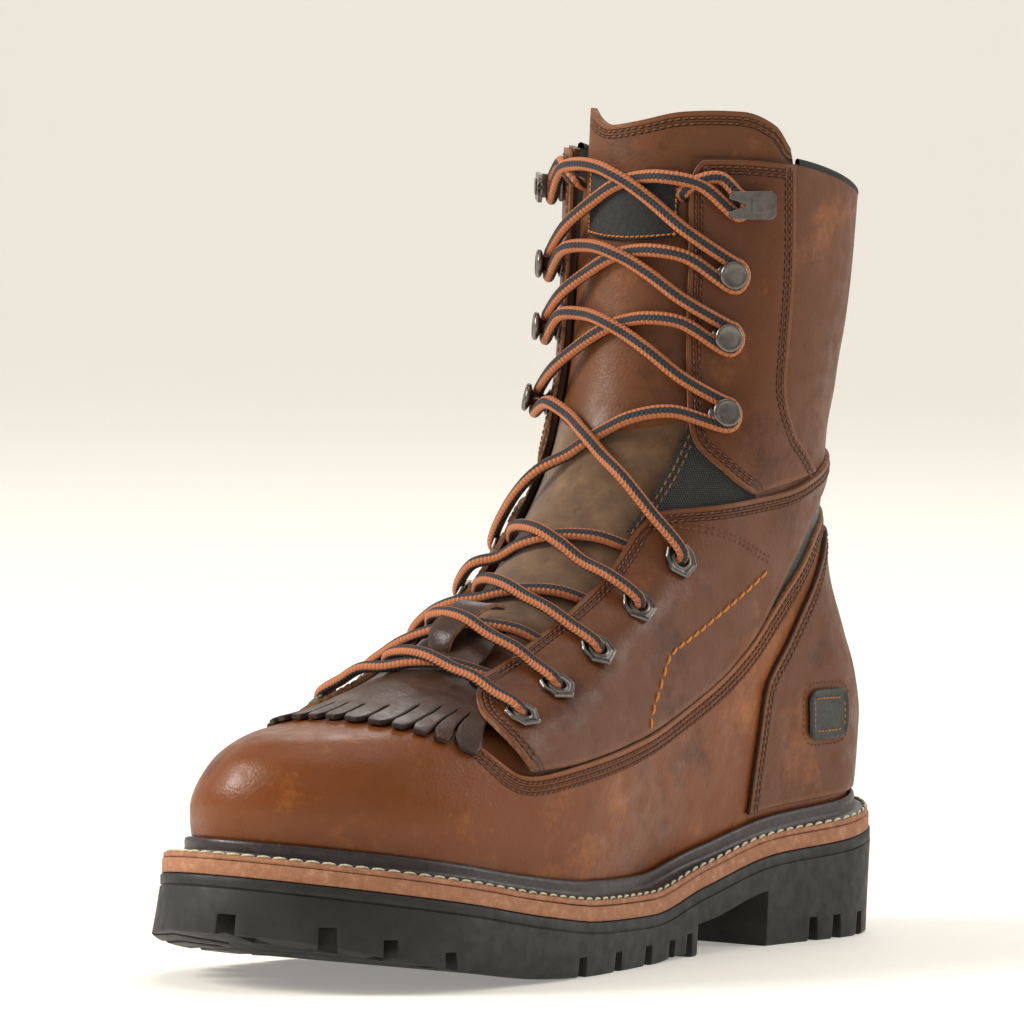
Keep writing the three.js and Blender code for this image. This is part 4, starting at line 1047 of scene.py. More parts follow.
def build_collar():
    around = np.linspace(0.42, 1.58, 130)
    turns = np.linspace(0, 2 * np.pi, 13)[:-1]
    centre = last(around, 1.0, -1.0)
    out = outward(around, np.ones_like(around))
    rising = unit(surface(around, 1.0) - surface(around, 0.98))
    ring = centre[:, None] + out[:, None] * (1.15 * np.cos(turns))[None, :, None]
    ring = ring + rising[:, None] * (0.9 + 1.3 * np.sin(turns))[None, :, None]
    points = ring.reshape(-1, 3)
    count = len(turns)
    faces = []
    for i in range(len(around) - 1):
        for j in range(count):
            k = (j + 1) % count
            faces.append([i * count + j, i * count + k, (i + 1) * count + k, (i + 1) * count + j])
    piece("collar_lining_edge", points, faces, [lining])


# Tongue, its label and the kiltie
def tongue_places():
    places = ruled(TONGUE_ROWS, ["from", "fromUp", "to", "toUp"], 60, 90)
    t = np.linspace(-1, 1, 60)[:, None]
    spots = np.linspace(0, 1, len(TONGUE_ROWS["rows"]))
    crown = monotone(spots, [row[4] for row in TONGUE_ROWS["rows"]], np.linspace(0, 1, 90))
    places[..., 1] += crown[None, :] * tongue_top("rise", t)
    return places


def build_tongue():
    places = tongue_places()
    face = level(TONGUE_FACE)
    obj = sheet("tongue_sheet", places, face, TONGUE, [tongue_skin, lining, cut_edge, suede],
                seams=["high"], replaced=["tongue"], rim=0.7, inner=1, edge=2)
    middles = np.array([face.vertices[0] for face in obj.data.polygons])
    levels = places[..., 1].ravel()[middles]
    marks = np.where((levels > 0.50) & (levels < 0.755), 3, 0)
    obj.data.polygons.foreach_set("material_index", marks.astype(np.int32))
    stitched(places, "high", DOUBLE, face, trim=(0.04, 0.96))


def build_label():
    table = {"columns": ["a", "u", "b", "v"],
             "rows": [[-0.115, 0.934, 0.172, 0.934], [-0.115, 0.990, 0.172, 0.990]]}
    places = ruled(table, ["a", "u", "b", "v"], 30, 24)
    top = TONGUE_FACE + CURVED_GAP + PATCH
    sheet("tongue_label", places, level(top), PATCH, [label_black],
          replaced=["tongue_patch"], rim=0.3)
    for side in ("start", "end", "low", "high"):
        stitched(places, side, (1.1,), level(top), colour="orange", pitch=1.7, radius=0.30, fill=0.95)


def tip_up(around):
    return FRINGE["endUp"] + FRINGE["bow"] * (1 - np.clip(around / FRINGE["outer"], -1, 1) ** 2)


def finger_around(place):
    return np.sign(place) * fingers("around", np.abs(place))


def slit_length(around):
    return mix(FRINGE["shortest"], FRINGE["longest"], smooth(np.abs(around), 0.05, 0.25))


def kiltie_lift(around, up):
    fringe = (1 - smooth(up, 0.22, 0.36)) * (1 - smooth(np.abs(around), 0.1, 0.26))
    return kiltie_under(up) + KILTIE + 0.9 * fringe


def build_kiltie():
    count = FRINGE["fingers"]
    each = 6
    columns = count * each + 1
    place = np.linspace(-count / 2, count / 2, columns)
    start = finger_around(place)
    low = tip_up(start) + slit_length(start)
    body_rows = 30
    w = np.linspace(0, 1, body_rows)
    up = mix(low[:, None], 0.53, w[None, :])
    t = np.linspace(0, 1, columns)[:, None]
    around = mix(kiltie_edge("inner", up), kiltie_edge("outer", up), t)
    around = mix(start[:, None], around, smooth(w, 0, 0.45)[None, :])
    places = np.stack([around, up], -1).reshape(-1, 2).tolist()
    faces = quads(columns, body_rows).tolist()
    steps = np.array([0.06, 0.25, 0.50, 0.72, 0.78, 0.90, 1.0])
    widths = np.array([0.86, 0.87, 0.88, 0.88, 0.87, 0.68, 0.50])
    for f in range(count):
        before = [(f * each + i) * body_rows for i in range(each + 1)]
        for step, width in zip(steps, widths):
            now = []
            for i in range(each + 1):
                here = finger_around(f + 0.5 - count / 2 + (i / each - 0.5) * width)
                top = tip_up(here) + slit_length(here)
                places.append([float(here), float(top - slit_length(here) * step)])
                now.append(len(places) - 1)
            for i in range(each):
                faces.append([now[i], now[i + 1], before[i + 1], before[i]])
            before = now
    places = np.array(places)
    a = places[:, 0]
    u = places[:, 1]
    points = last(a, u, kiltie_lift(a, u))
    edge = np.full(len(a), 9.0)
    faces = facing(points, np.array(faces), outward(a, u))
    obj = piece("kiltie_fringe", points, faces, [kiltie_skin, dark_edge],
                {"edge": edge, "seam": edge}, ["kiltie"])
    thicken(obj, KILTIE, 0.5, edge=1)


# The kiltie's loop, under which the lace crosses
def build_loop():
    table = {"columns": ["a", "u", "b", "v"],
             "rows": [[-0.045, 0.497, 0.050, 0.490], [-0.030, 0.560, 0.085, 0.556]]}
    places = ruled(table, ["a", "u", "b", "v"], 24, 24)
    t = np.linspace(-1, 1, 24)[None, :]
    raised = 5.6 * (1 - t**4) * np.ones((24, 1))
    sheet("kiltie_loop", places, lambda a, u: kiltie_under(u) + KILTIE + raised, 1.5,
          [kiltie_skin, cut_edge], rim=0.4, edge=1)


# Hardware
def seat_frame(around, up, lift, above=None):
    """Origin, rearward, upward and outward directions at a place of the upper."""
    a = np.array([around], float)
    u = np.array([up], float)
    origin = last(a, u, lift)[0]
    out = outward(a, u)[0]
    if above is None:
        rearward = surface(a + math.copysign(STEP, around), u)[0] - surface(a, u)[0]
        rearward = unit(rearward - out * (rearward @ out))
        rise = np.cross(out, rearward) * math.copysign(1, around)
    else:
        rise = np.array(above, float)
        rise = unit(rise - out * (rise @ out))
        rearward = np.cross(rise, out) * math.copysign(1, around)
    return origin, rearward, rise, out


def eyelet_lift(around, up):
    return float(flap_lift(around, up)) + CURVED_GAP * 2 + PANEL


SHIELD = [(-3.7, 5.3), (3.7, 5.3), (5.5, 2.0), (5.3, -3.0), (0, -6.6), (-5.3, -3.0), (-5.5, 2.0)]


def ring_of(outline, scale, count=56):
    """The outline grown or shrunk, at the same angles for each ring."""
    corners = np.array(outline) * scale
    closed = np.concatenate([corners, corners[:1]])
    return resample(closed, np.linalg.norm(np.diff(closed, axis=0), axis=1).sum() / count)[:count]


def build_eyelet(name, around, up):
    lean = mix(-0.42, -0.12, (up - 0.28) / 0.3)
    origin, rear, rise, out = seat_frame(around, up, eyelet_lift(around, up), (0, lean, 1))
    outer = ring_of(SHIELD, 1)
    angles = np.arctan2(outer[:, 1], outer[:, 0])
    hole = np.stack([2.7 * np.cos(angles), 2.7 * np.sin(angles)], 1)
    rings = [
        (outer, 0.0), (outer, 0.75), (outer * 0.96, 1.1), (outer * 0.90, 1.35), (outer * 0.84, 1.3),
        (outer * 0.80, 0.95), (mix(outer * 0.78, hole, 0.5), 0.9), (hole * 1.22, 0.95),
        (hole * 1.12, 1.35), (hole * 1.0, 1.3), (hole * 0.92, 0.9), (hole * 0.92, -2.6),
    ]
    points = [origin + p[0] * rear + p[1] * rise + height * out for ring, height in rings for p in ring]
    count = len(outer)
    faces = []
    for i in range(len(rings) - 1):
        for j in range(count):
            k = (j + 1) % count
            faces.append([i * count + j, i * count + k, (i + 1) * count + k, (i + 1) * count + j])
    obj = piece(f"{name}_rim", np.array(points), faces, [steel], replaced=[name])
    floor = [origin + p[0] * 0.93 * rear + p[1] * 0.93 * rise - 2.2 * out for p in hole]
    return obj, floor


def lathe(name, origin, axes, turned, count, replaced):
    rear, rise, out = axes
    points = []
    for radius, height in turned:
        for j in range(count):
            angle = 2 * math.pi * j / count
            points.append(origin + radius * (math.cos(angle) * rear + math.sin(angle) * rise) + height * out)
    faces = []
    for i in range(len(turned) - 1):
        for j in range(count):
            k = (j + 1) % count
            faces.append([i * count + j, i * count + k, (i + 1) * count + k, (i + 1) * count + j])
    points.append(origin + turned[-1][1] * out)
    for j in range(count):
        faces.append([(len(turned) - 1) * count + j, (len(turned) - 1) * count + (j + 1) % count, len(points) - 1])
    return piece(name, np.array(points), faces, [steel], replaced=[replaced])


def build_hook(name, around, up):
    origin, rear, rise, out = seat_frame(around, up, HOOK_LIFT)
    neck = HOOK_NECK / 2
    face = HOOK_FACE / 2
    top = HOOK_REACH
    turned = [
        (4.3, 0), (4.4, 0.3), (4.1, 0.8), (3.0, 1.1), (neck + 0.3, 1.6), (neck, 2.4), (neck, top - 3.4),
        (neck + 0.4, top - 2.6), (face * 0.75, top - 2.0), (face * 0.95, top - 1.6), (face, top - 1.1),
        (face * 0.99, top - 0.6), (face * 0.93, top - 0.2), (face * 0.82, top), (face * 0.74, top - 0.15),
        (face * 0.66, top - 0.32), (face * 0.3, top - 0.36),
    ]
    lathe(f"{name}_turned", origin, (rear, rise, out), turned, 36, name)


def build_cinch(name, around, up):
    """A folded plate with a notch in its front end, where the lace is gripped."""
    origin, rear, rise, out = seat_frame(around, up, HOOK_LIFT)
    top = HOOK_REACH
    half_long = 8
    half_wide = 4.6
    outline = [
        (-half_long + 1.2, -half_wide), (half_long - 1.5, -half_wide), (half_long, -half_wide + 1.5),
        (half_long, half_wide - 1.5), (half_long - 1.5, half_wide), (-half_long + 1.2, half_wide),
        (-half_long, half_wide - 1.2), (-half_long, 2.1), (-half_long + 5.4, 0.4),
        (-half_long + 5.4, -0.4), (-half_long, -2.1), (-half_long, -half_wide + 1.2),
    ]
    points = []
    faces = []

    def plate(shape, low, high, shift=0.0):
        first = len(points)
        for height in (low, high):
            for x, y in shape:
                points.append(origin + (x + shift) * rear + y * rise + height * out)
        count = len(shape)
        for j in range(count):
            k = (j + 1) % count
            faces.append([first + j, first + k, first + count + k, first + count + j])
        faces.append([first + count + j for j in range(count)])
        faces.append([first + j for j in reversed(range(count))])

    plate(outline, top - 1.5, top)
    base = [(-half_long + 1, -4), (half_long, -4), (half_long, 4), (-half_long + 1, 4)]
    plate(base, 0, 1.2)
    fold = [(half_long - 1.4, -4), (half_long, -4), (half_long, 4), (half_long - 1.4, 4)]
    plate(fold, 1.2, top - 1.5)
    boss = [(-0.5, -2.6), (half_long - 2.6, -2.6), (half_long - 1.9, 0), (half_long - 2.6, 2.6), (-0.5, 2.6)]
    plate(boss, top, top + 0.5)
    obj = piece(f"{name}_plate", np.array(points), faces, [steel], replaced=[name])
    for polygon in obj.data.polygons:
        polygon.use_smooth = False
    bevel = obj.modifiers.new("edge", "BEVEL")
    bevel.width = 0.00035
    bevel.segments = 3
    bevel.limit_method = "ANGLE"


# Laces
def bisect(low, high, like, miss):
    low = np.full_like(like, low)
    high = np.full_like(like, high)
    for _ in range(20):
        middle = (low + high) / 2
        short = miss(middle) < 0
        low = np.where(short, middle, low)
        high = np.where(short, high, middle)
    return (low + high) / 2


def on_throat(x, along):
    """The places under points of the throat, seen square to the instep."""
    side = np.where(x < 0, -1.0, 1.0)
    up = np.full_like(x, 0.6)
    for _ in range(4):
        around = bisect(0.0, 0.5, x, lambda value: side * surface(side * value, up)[..., 0] - abs(x))
        up = bisect(0.05, 1.0, x, lambda value: throat_along(surface(side * around, value)) - along)
    return side * around, up


def spline(points, per_span=10):
    points = np.array(points, float)
    padded = np.concatenate([2 * points[:1] - points[1:2], points, 2 * points[-1:] - points[-2:-1]])
    made = []
    for i in range(len(points) - 1):
        p0, p1, p2, p3 = padded[i : i + 4]
        gaps = [max(np.linalg.norm(b[:3] - a[:3]), 1e-3) ** 0.5 for a, b in ((p0, p1), (p1, p2), (p2, p3))]
        first = (p1 - p0) / gaps[0] - (p2 - p0) / (gaps[0] + gaps[1]) + (p2 - p1) / gaps[1]
        second = (p2 - p1) / gaps[1] - (p3 - p1) / (gaps[1] + gaps[2]) + (p3 - p2) / gaps[2]
        first = first * gaps[1]
        second = second * gaps[1]
        for t in np.linspace(0, 1, per_span, endpoint=False):
            a = 2 * t**3 - 3 * t**2 + 1
            b = t**3 - 2 * t**2 + t
            c = -2 * t**3 + 3 * t**2
            d = t**3 - t**2
            made.append(a * p1 + b * first + c * p2 + d * second)
    made.append(points[-1])
    return np.array(made)


class Braid:
    """All strands of the lace, gathered into one mesh."""

    def __init__(self):
        self.points = []
        self.faces = []
        self.facts = {"across": [], "along": []}
        self.length = 0.0

    def strand(self, controls):
        """Controls are rows of a point and the direction that the lace's face looks in."""
        path = resample(spline(controls), 0.55)
        centre = path[:, :3]
        tangent = unit(np.gradient(centre, axis=0))
        face = path[:, 3:]
        face = unit(face - tangent * (face * tangent).sum(1)[:, None])
        wide = np.cross(tangent, face)
        turns = np.linspace(0, 2 * np.pi, 19)[:-1]
        along = np.arange(len(centre)) * 0.55
        stripe = np.abs(np.sin(1.5 * turns))[None]
        phase = along[:, None] / YARN + stripe * 0.9
        wave = np.abs((phase % 1) - 0.5) * 2
        radius = 1 + 0.03 * (wave - 0.5)
        ring = centre[:, None] + wide[:, None] * (LACE / 2 * 1.06 * radius * np.sin(turns))[..., None]
        ring = ring + face[:, None] * (LACE / 2 * 0.90 * radius * np.cos(turns))[..., None]
        first = sum(len(p) for p in self.points)
        count = len(turns)
        index = np.arange(len(centre) - 1)[:, None] * count
        j = np.arange(count)[None]
        k = (j + 1) % count
        corners = [index + j, index + k, index + count + k, index + count + j]
        self.faces.append(first + np.stack(np.broadcast_arrays(*corners), -1).reshape(-1, 4))
        self.points.append(ring.reshape(-1, 3))
        self.facts["across"].append(np.broadcast_to(stripe, wave.shape).ravel())
        self.facts["along"].append(np.broadcast_to(along[:, None], wave.shape).ravel())
        self.length += along[-1]

    def build(self):
        facts = {key: np.concatenate(values) for key, values in self.facts.items()}
        crossings = [f"lace_crossing_{i}" for i in range(1, 9)]
        points = np.concatenate(self.points)
        piece("lace", points, np.concatenate(self.faces), [lace_shade], facts, crossings)


def bare_lift(up):
    over_kiltie = kiltie_under(up) + KILTIE
    shaft = smooth(up, 0.53, 0.58)
    return mix(over_kiltie, TONGUE_FACE, shaft) + LACE / 2


def flap_edge(up):
    rows = QUARTER["rows"][:6]
    return float(monotone([row[1] for row in rows], [row[0] for row in rows], np.array([up]))[0])


def with_face(around, up, lift):
    a = np.array([around], float)
    u = np.array([up], float)
    point = last(a, u, lift)[0]
    return [*point, *outward(a, u)[0]]


def eyelet_strand(lace, low, high, over):
    """From the hole of an eyelet, over the flap and the tongue, to under the other flap."""
    a0, u0 = low
    a1, u1 = high
    start = surface(a0, u0)
    end = surface(a1, u1)
    side = math.copysign(1, a0)
    top = eyelet_lift(a0, u0)
    controls = [with_face(a0, u0 - 0.002, top - 4), with_face(a0, u0, top - 0.5), with_face(a0 - side * 0.006, u0 + 0.006, top + 2.0)]
    shares = np.array([0.14, 0.25, 0.36, 0.48, 0.60, 0.72, 0.84, 0.93])
    places = on_throat(mix(start[0], end[0], shares), mix(throat_along(start), throat_along(end), shares))
    for t, around, up in zip(shares, *places):
        bare = bare_lift(up) + (3.6 if over else 0.2) * math.exp(-(((t - 0.5) / 0.22) ** 2))
        edge = flap_edge(up)
        away = abs(around) - edge
        if t < 0.5:
            lifted = over_quarter(around, up) + LACE / 2 + 0.3
            lift = mix(bare, float(lifted), float(smooth(away, -0.10, -0.01)))
            lift += 1.2 * math.exp(-((away / 0.03) ** 2))
        else:
            under = CURVED_GAP + float(flap_lift(around, up)) - LACE / 2 - 0.2
            lift = mix(bare, under, float(smooth(away, -0.07, 0.015)))
        controls.append(with_face(around, up, lift))
    lace.strand(controls)


def hook_turn(place, high, low_side=True, radius=4.2, height=3.9, back=0.0):
    """Points round a hook's neck, from the side where the lace arrives."""
    origin, rear, rise, out = seat_frame(*place, HOOK_LIFT)
    points = []
    for degrees in (-78, -40, 0, 40, 78):
        angle = math.radians(degrees)
        spot = origin + radius * (math.cos(angle) * rear + math.sin(angle) * rise) + (height) * out - back * rear
        points.append([*spot, *out])
    return points


def bridge(from_place, to_place, over, base=0.0):
    """Points over the tongue, between two holders."""
    start = surface(*from_place)
    end = surface(*to_place)
    controls = []
    shares = np.array([0.16, 0.30, 0.42, 0.50, 0.58, 0.70, 0.84])
    places = on_throat(mix(start[0], end[0], shares), mix(throat_along(start), throat_along(end), shares))
    for t, around, up in zip(shares, *places):
        flap = CURVED_GAP + PANEL + LACE / 2 + 0.6
        bare = TONGUE_FACE + LACE / 2 + 0.5
        lift = mix(bare, flap, float(smooth(abs(around), 0.06, 0.17)))
        lift += (1.6 if over else -0.8) * math.exp(-(((t - 0.5) / 0.16) ** 2)) + base
        controls.append(with_face(around, up, lift))
    return controls


def build_lace():
    lace = Braid()
    for k in range(4):
        out_low = EYELETS[k]
        in_low = [-EYELETS[k][0], EYELETS[k][1]]
        out_high = EYELETS[k + 1]
        in_high = [-EYELETS[k + 1][0], EYELETS[k + 1][1]]
        eyelet_strand(lace, out_low, in_high, True)
        eyelet_strand(lace, in_low, out_high, False)
    for start_side in (1, -1):
        a0, u0 = EYELETS[4]
        a0 = a0 * start_side
        top = eyelet_lift(a0, u0)
        controls = [with_face(a0, u0 - 0.002, top - 4), with_face(a0, u0, top - 0.5)]
        controls.append(with_face(a0 - start_side * 0.008, u0 + 0.008, top + 2.2))
        here = [a0, u0]
        side = -start_side
        for k in range(4):
            hook = (HOOKS_OUT if side > 0 else HOOKS_IN)[k]
            over = side < 0 if k == 0 else side > 0
            over = not over if k > 0 else over
            controls += bridge(here, hook, over)
            if k < 3:
                controls += hook_turn(hook, True)
                here = hook
                side = -side
            else:
                controls += hook_turn(hook, True, radius=3.4, height=3.6, back=4.2)
                a, u = hook
                sign = math.copysign(1, a)
                controls.append(with_face(a - sign * 0.055, u + 0.024, 3.9))
                controls.append(with_face(a - sign * 0.100, u + 0.022, 3.6))
                controls.append(with_face(a - sign * 0.128, u + 0.014, 1.6))
                controls.append(with_face(a - sign * 0.122, u + 0.008, -4.0))
        lace.strand(controls)
    lace.build()
    return lace.length


# Sole
def ring_rows(rows, wraps=False):
    """Faces between rings of the same count, closed along each ring."""
    count = rows[0].shape[0]
    faces = []
    total = len(rows)
    for i in range(total if wraps else total - 1):
        n = (i + 1) % total
        for j in range(count):
            k = (j + 1) % count
            faces.append([i * count + j, i * count + k, n * count + k, n * count + j])
    return faces


def slab(sections, spans=150):
    """A slab across the sole. Each section row is an inset and a height, from top to bottom."""
    at = 0.5 - 0.5 * np.cos(np.pi * np.linspace(0, 1, spans + 1))
    y = LENGTH * (0.5 - at)
    columns = []
    for side in (1, -1):
        rows = sections if side > 0 else sections[::-1]
        for inset_of, height in rows:
            x, along = sole_edge(at, side, inset_of(y))
            columns.append(np.stack([x, along, height(y)], -1))
    rings = np.stack(columns, 1)
    return rings


def flat_end(value):
    return lambda y: np.full(np.shape(y), float(value))


def drafted(y):
    return mix(HEEL_DRAFT, -TOE_FLARE, smooth(share(y), SWING_STARTS, 1))


def notch_box(at, side, reach, width, height):
    """A box that cuts one notch into the tread, square to the outline."""
    x, y = sole_edge(at, side, 0)
    ahead = np.array(sole_edge(at + 0.004, side, 0))
    behind = np.array(sole_edge(at - 0.004, side, 0))
    along = unit(ahead - behind)
    spot = np.array([x, y], float)
    square = np.array([-along[1], along[0]])
    inward = square * np.sign(square @ (np.array([0, y * 0.8]) - spot))
    top = height + float(tread(np.array([float(y)]))[0])

    def corners(half):
        outer = spot - inward * 8
        inner = spot + inward * reach
        return [outer - along * half, outer + along * half, inner + along * half, inner - along * half]

    low = [(*p, -10) for p in corners(width / 2 + 0.9)]
    high = [(*p, top) for p in corners(width / 2 - 0.2)]
    points = np.array(low + high, float)
    faces = [[0, 1, 5, 4], [1, 2, 6, 5], [2, 3, 7, 6], [3, 0, 4, 7], [4, 5, 6, 7], [3, 2, 1, 0]]
    a, b, c = points[4], points[5], points[6]
    if np.cross(b - a, c - a)[2] < 0:
        faces = [face[::-1] for face in faces]
    return points, faces


def cutter(name, boxes):
    points = []
    faces = []
    for box_points, box_faces in boxes:
        first = len(points)
        points.extend(box_points.tolist())
        faces.extend([[first + i for i in face] for face in box_faces])
    mesh = bpy.data.meshes.new(name)
    mesh.from_pydata(metres(points).tolist(), [], faces)
    obj = bpy.data.objects.new(name, mesh)
    bpy.context.scene.collection.objects.link(obj)
    return obj


def carve(obj, tools, operation="DIFFERENCE"):
    for tool in tools:
        change = obj.modifiers.new("carve", "BOOLEAN")
        change.operation = operation
        change.object = tool
        change.solver = "EXACT"
    bpy.context.view_layer.update()
    seen = obj.evaluated_get(bpy.context.evaluated_depsgraph_get())
    mesh = bpy.data.meshes.new_from_object(seen)
    obj.modifiers.clear()
    obj.data = mesh
    for tool in tools:
        bpy.data.objects.remove(tool)
    return obj


def build_outsole():
    zero = flat_end(0)
    groove = flat_end(0.45)

    def lowered(drop):
        return lambda y: rubber_top(y) - drop

    def tip(y):
        fore = share(y) > 0.42
        return np.where(fore, tread(y), 0)

    sections = [
        (flat_end(2.0), rubber_top), (flat_end(0.3), rubber_top), (zero, lowered(0.35)), (zero, lowered(3.1)),
        (groove, lowered(3.3)), (groove, lowered(3.6)), (flat_end(-0.1), lowered(3.8)),
        (lambda y: drafted(y) * 0.5, lambda y: mix(rubber_top(y) - 3.8, tip(y), 0.5)),
        (drafted, lambda y: tip(y) + 0.7), (lambda y: drafted(y) + 0.7, tip), (flat_end(4), tip),
    ]
    rings = slab(sections)
    count = rings.shape[1]
    points = rings.reshape(-1, 3)
    faces = ring_rows(list(rings))
    faces.append(list(range(count))[::-1])
    faces.append([(len(rings) - 1) * count + j for j in range(count)])
    obj = piece("outsole_rubber", points, faces, [rubber], replaced=["outsole"])
    breast = HEEL_BREAST
    block_end = breast - SHANK_LENGTH + NOTCH_WIDTH
    boxes = [
        notch_box(at, side, reach, width, height)
        for side, key in ((1, "lateral"), (-1, "medial"))
        for at, reach, width, height in NOTCHES[key]
    ]
    shank = arch_cutter(block_end, breast)
    carve(obj, [cutter("notches", boxes), shank])
    for polygon in obj.data.polygons:
        polygon.use_smooth = True
    bevel = obj.modifiers.new("edge", "BEVEL")
    bevel.width = 0.0005
    bevel.segments = 2
    bevel.limit_method = "ANGLE"
    bevel.angle_limit = math.radians(55)
    return obj


def arch_cutter(fore_end, breast):
    """The room under the arch, between the ball's tread and the heel's breast."""
    ys = np.linspace(fore_end, breast, 24)
    top = web(ys)
    points = []
    for x in (-BALL_WIDTH, BALL_WIDTH):
        for y, z in zip(ys, top):
            points.append((x, y, z))
        points.append((x, breast, -12))
        points.append((x, fore_end, -12))
    count = len(ys) + 2
    faces = [[j, (j + 1) % count, count + (j + 1) % count, count + j] for j in range(count)]
    faces.append(list(range(count))[::-1])
    faces.append([count + j for j in range(count)])
    mesh = bpy.data.meshes.new("arch")
    mesh.from_pydata(metres(points).tolist(), [], [face[::-1] for face in faces])
    obj = bpy.data.objects.new("arch", mesh)
    bpy.context.scene.collection.objects.link(obj)
    return obj


def build_midsole():
    def top(y):
        return rubber_top(y) + GAP + MIDSOLE

    def bottom(y):
        return rubber_top(y) + GAP

    rim = flat_end(MIDSOLE_INSET)
    sections = [
        (flat_end(MIDSOLE_INSET + 3), top), (flat_end(MIDSOLE_INSET + 0.25), top),
        (rim, lambda y: top(y) - 0.3), (rim, lambda y: bottom(y) + 0.3),
        (flat_end(MIDSOLE_INSET + 0.2), bottom), (flat_end(MIDSOLE_INSET + 3), bottom),
    ]
    rings = slab(sections)
    count = rings.shape[1]
    faces = ring_rows(list(rings))
    faces.append(list(range(count))[::-1])
    faces.append([(len(rings) - 1) * count + j for j in range(count)])
    piece("midsole_layer", rings.reshape(-1, 3), faces, [tan_side], replaced=["midsole"])


def build_welt():
    spans = 300
    around = np.arange(spans) * 2 / spans
    turn = np.where(around <= 1, around, 2 - around)
    at = 0.5 + 0.5 * np.cos(np.pi * turn)
    side = np.where(around <= 1, 1.0, -1.0)
    edge_x, edge_y = sole_edge(at, side, MIDSOLE_INSET * 2)
    bottom = seat(edge_y)
    beside = VAMP + FEATHER_GAP
    low = last(around, 0.0, 0.0, False)
    rise = last(around, 0.03, 0.0, False)[:, 2] - low[:, 2]
    tip = 0.03 * RIDGE_HEIGHT / rise
    inner = last(around, 0.0, -WALL - CURVED_GAP * 2, False)
    inner_foot = last(around, 0.0, beside, False)
    outer_foot = last(around, 0.0, beside + RIDGE_THICK, False)
    flange = np.minimum(last(around, 0.0, VAMP, False)[:, 2], last(around, 0.0, -WALL, False)[:, 2]) - FEATHER_GAP

    def at_height(point, z):
        return np.stack([point[:, 0], point[:, 1], z], -1)

    def ridge(rising, lift):
        return last(around, tip * rising, lift, False)

    edge = np.stack([edge_x, edge_y, bottom], -1)
    top_edge = at_height(edge, bottom + WELT - WELT_SLOPE)
    foot = at_height(outer_foot, flange)
    columns = [
        at_height(inner, seat(inner[:, 1])), at_height(inner, flange), at_height(inner_foot, flange),
        ridge(0.6, beside), ridge(0.93, beside + 0.1), ridge(1.04, beside + RIDGE_THICK * 0.35),
        ridge(0.97, beside + RIDGE_THICK * 0.75), ridge(0.75, beside + RIDGE_THICK * 0.93),
        ridge(0.3, beside + RIDGE_THICK * 1.0), mix(foot, top_edge, 0.10) + [0, 0, 0.10],
        mix(foot, top_edge, 0.5), mix(foot, top_edge, 0.92), mix(top_edge, edge, 0.12), mix(top_edge, edge, 0.5), edge,
    ]
    rings = np.stack(columns, 1)
    faces = ring_rows(list(rings), wraps=True)
    strip = piece("welt_strip", rings.reshape(-1, 3), faces, [welt_skin, tan_side], replaced=["welt"])
    tan_from = 11
    marks = [1 if j >= tan_from else 0 for _ in range(spans) for j in range(len(columns))]
    strip.data.polygons.foreach_set("material_index", marks)
    sewn = mix(foot, top_edge, 0.80) + [0, 0, 0.2]
    closed = np.concatenate([sewn, sewn[:1]])
    normals = np.tile([0.0, 0.0, 1.0], (len(closed), 1))
    add_stitches("cream", closed, normals, 5.2, 0.55, 0.9, 0.35, 0.8)


# Badge on the heel
def build_badge():
    corners = np.array(BADGE)
    size = 26
    s = np.linspace(0, 1, size)
    low = mix(corners[0], corners[1], s[:, None])
    high = mix(corners[3], corners[2], s[:, None])
    places = mix(low[:, None], high[:, None], s[None, :, None])
    rounding = 0.14
    u = 2 * s[:, None] - 1
    v = 2 * s[None, :] - 1
    squeeze_u = 1 - rounding * np.abs(v) ** 6
    squeeze_v = 1 - rounding * np.abs(u) ** 6
    centre = corners.mean(0)
    half = places - centre
    places = centre + half * np.stack([np.broadcast_to(squeeze_u, half.shape[:2]), np.broadcast_to(squeeze_v, half.shape[:2])], -1)
    top = VAMP + CURVED_GAP * 2 + COUNTER + PATCH
    frame_rim = np.maximum(np.abs(u), np.abs(v))
    raised = smooth(frame_rim, 0.76, 0.82) * (1 - smooth(frame_rim, 0.90, 0.96)) * 0.7
    obj = sheet("heel_badge", places, lambda a, w: top + raised, PATCH + 0.3, [badge_black],
                replaced=["heel_tab"], rim=0.35)
    for side in ("start", "end", "low", "high"):
        stitched(places, side, (2.9,), level(top), colour="orange", trim=(0.14, 0.86), pitch=1.8, radius=0.28)
        border = rim_of(places, side)
        away = rim_of(np.broadcast_to(centre, places.shape), side)
        outer = inset(border, 2.0, border + (border - away))
        stitch_line("brown", outer, level(VAMP + CURVED_GAP + COUNTER), pitch=2.2, radius=0.3)
    return obj


def build_boot():
    build_upper()
    build_vamp()
    build_flex()
    build_counter()
    build_backstay()
    build_collar()
    build_tongue()
    build_label()
    build_kiltie()
    build_loop()
    for name, side in SIDES.items():
        build_quarter(name, side)
        build_shaft_panel(name, side)
        build_mesh_panel(name, side)
        for i, (around, up) in enumerate(EYELETS):
            build_eyelet(f"eyelet_{name}_{i + 1}", side * around, up)
        for i, place in enumerate(HOOKS_OUT if side > 0 else HOOKS_IN):
            if i < 3:
                build_hook(f"hook_{name}_{i + 1}", *place)
            else:
                build_cinch(f"cinch_hook_{name}", *place)
    length = build_lace()
    build_badge()
    build_outsole()
    build_midsole()
    build_welt()
    sew("brown", "stitching_brown", brown_thread)
    sew("orange", "stitching_orange", orange_thread)
    sew("cream", "stitching_welt", cream_thread)
    sew("tan", "stitching_tan", tan_thread)
    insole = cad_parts["insole"]
    insole.data.materials.clear()
    insole.data.materials.append(footbed)
    return length


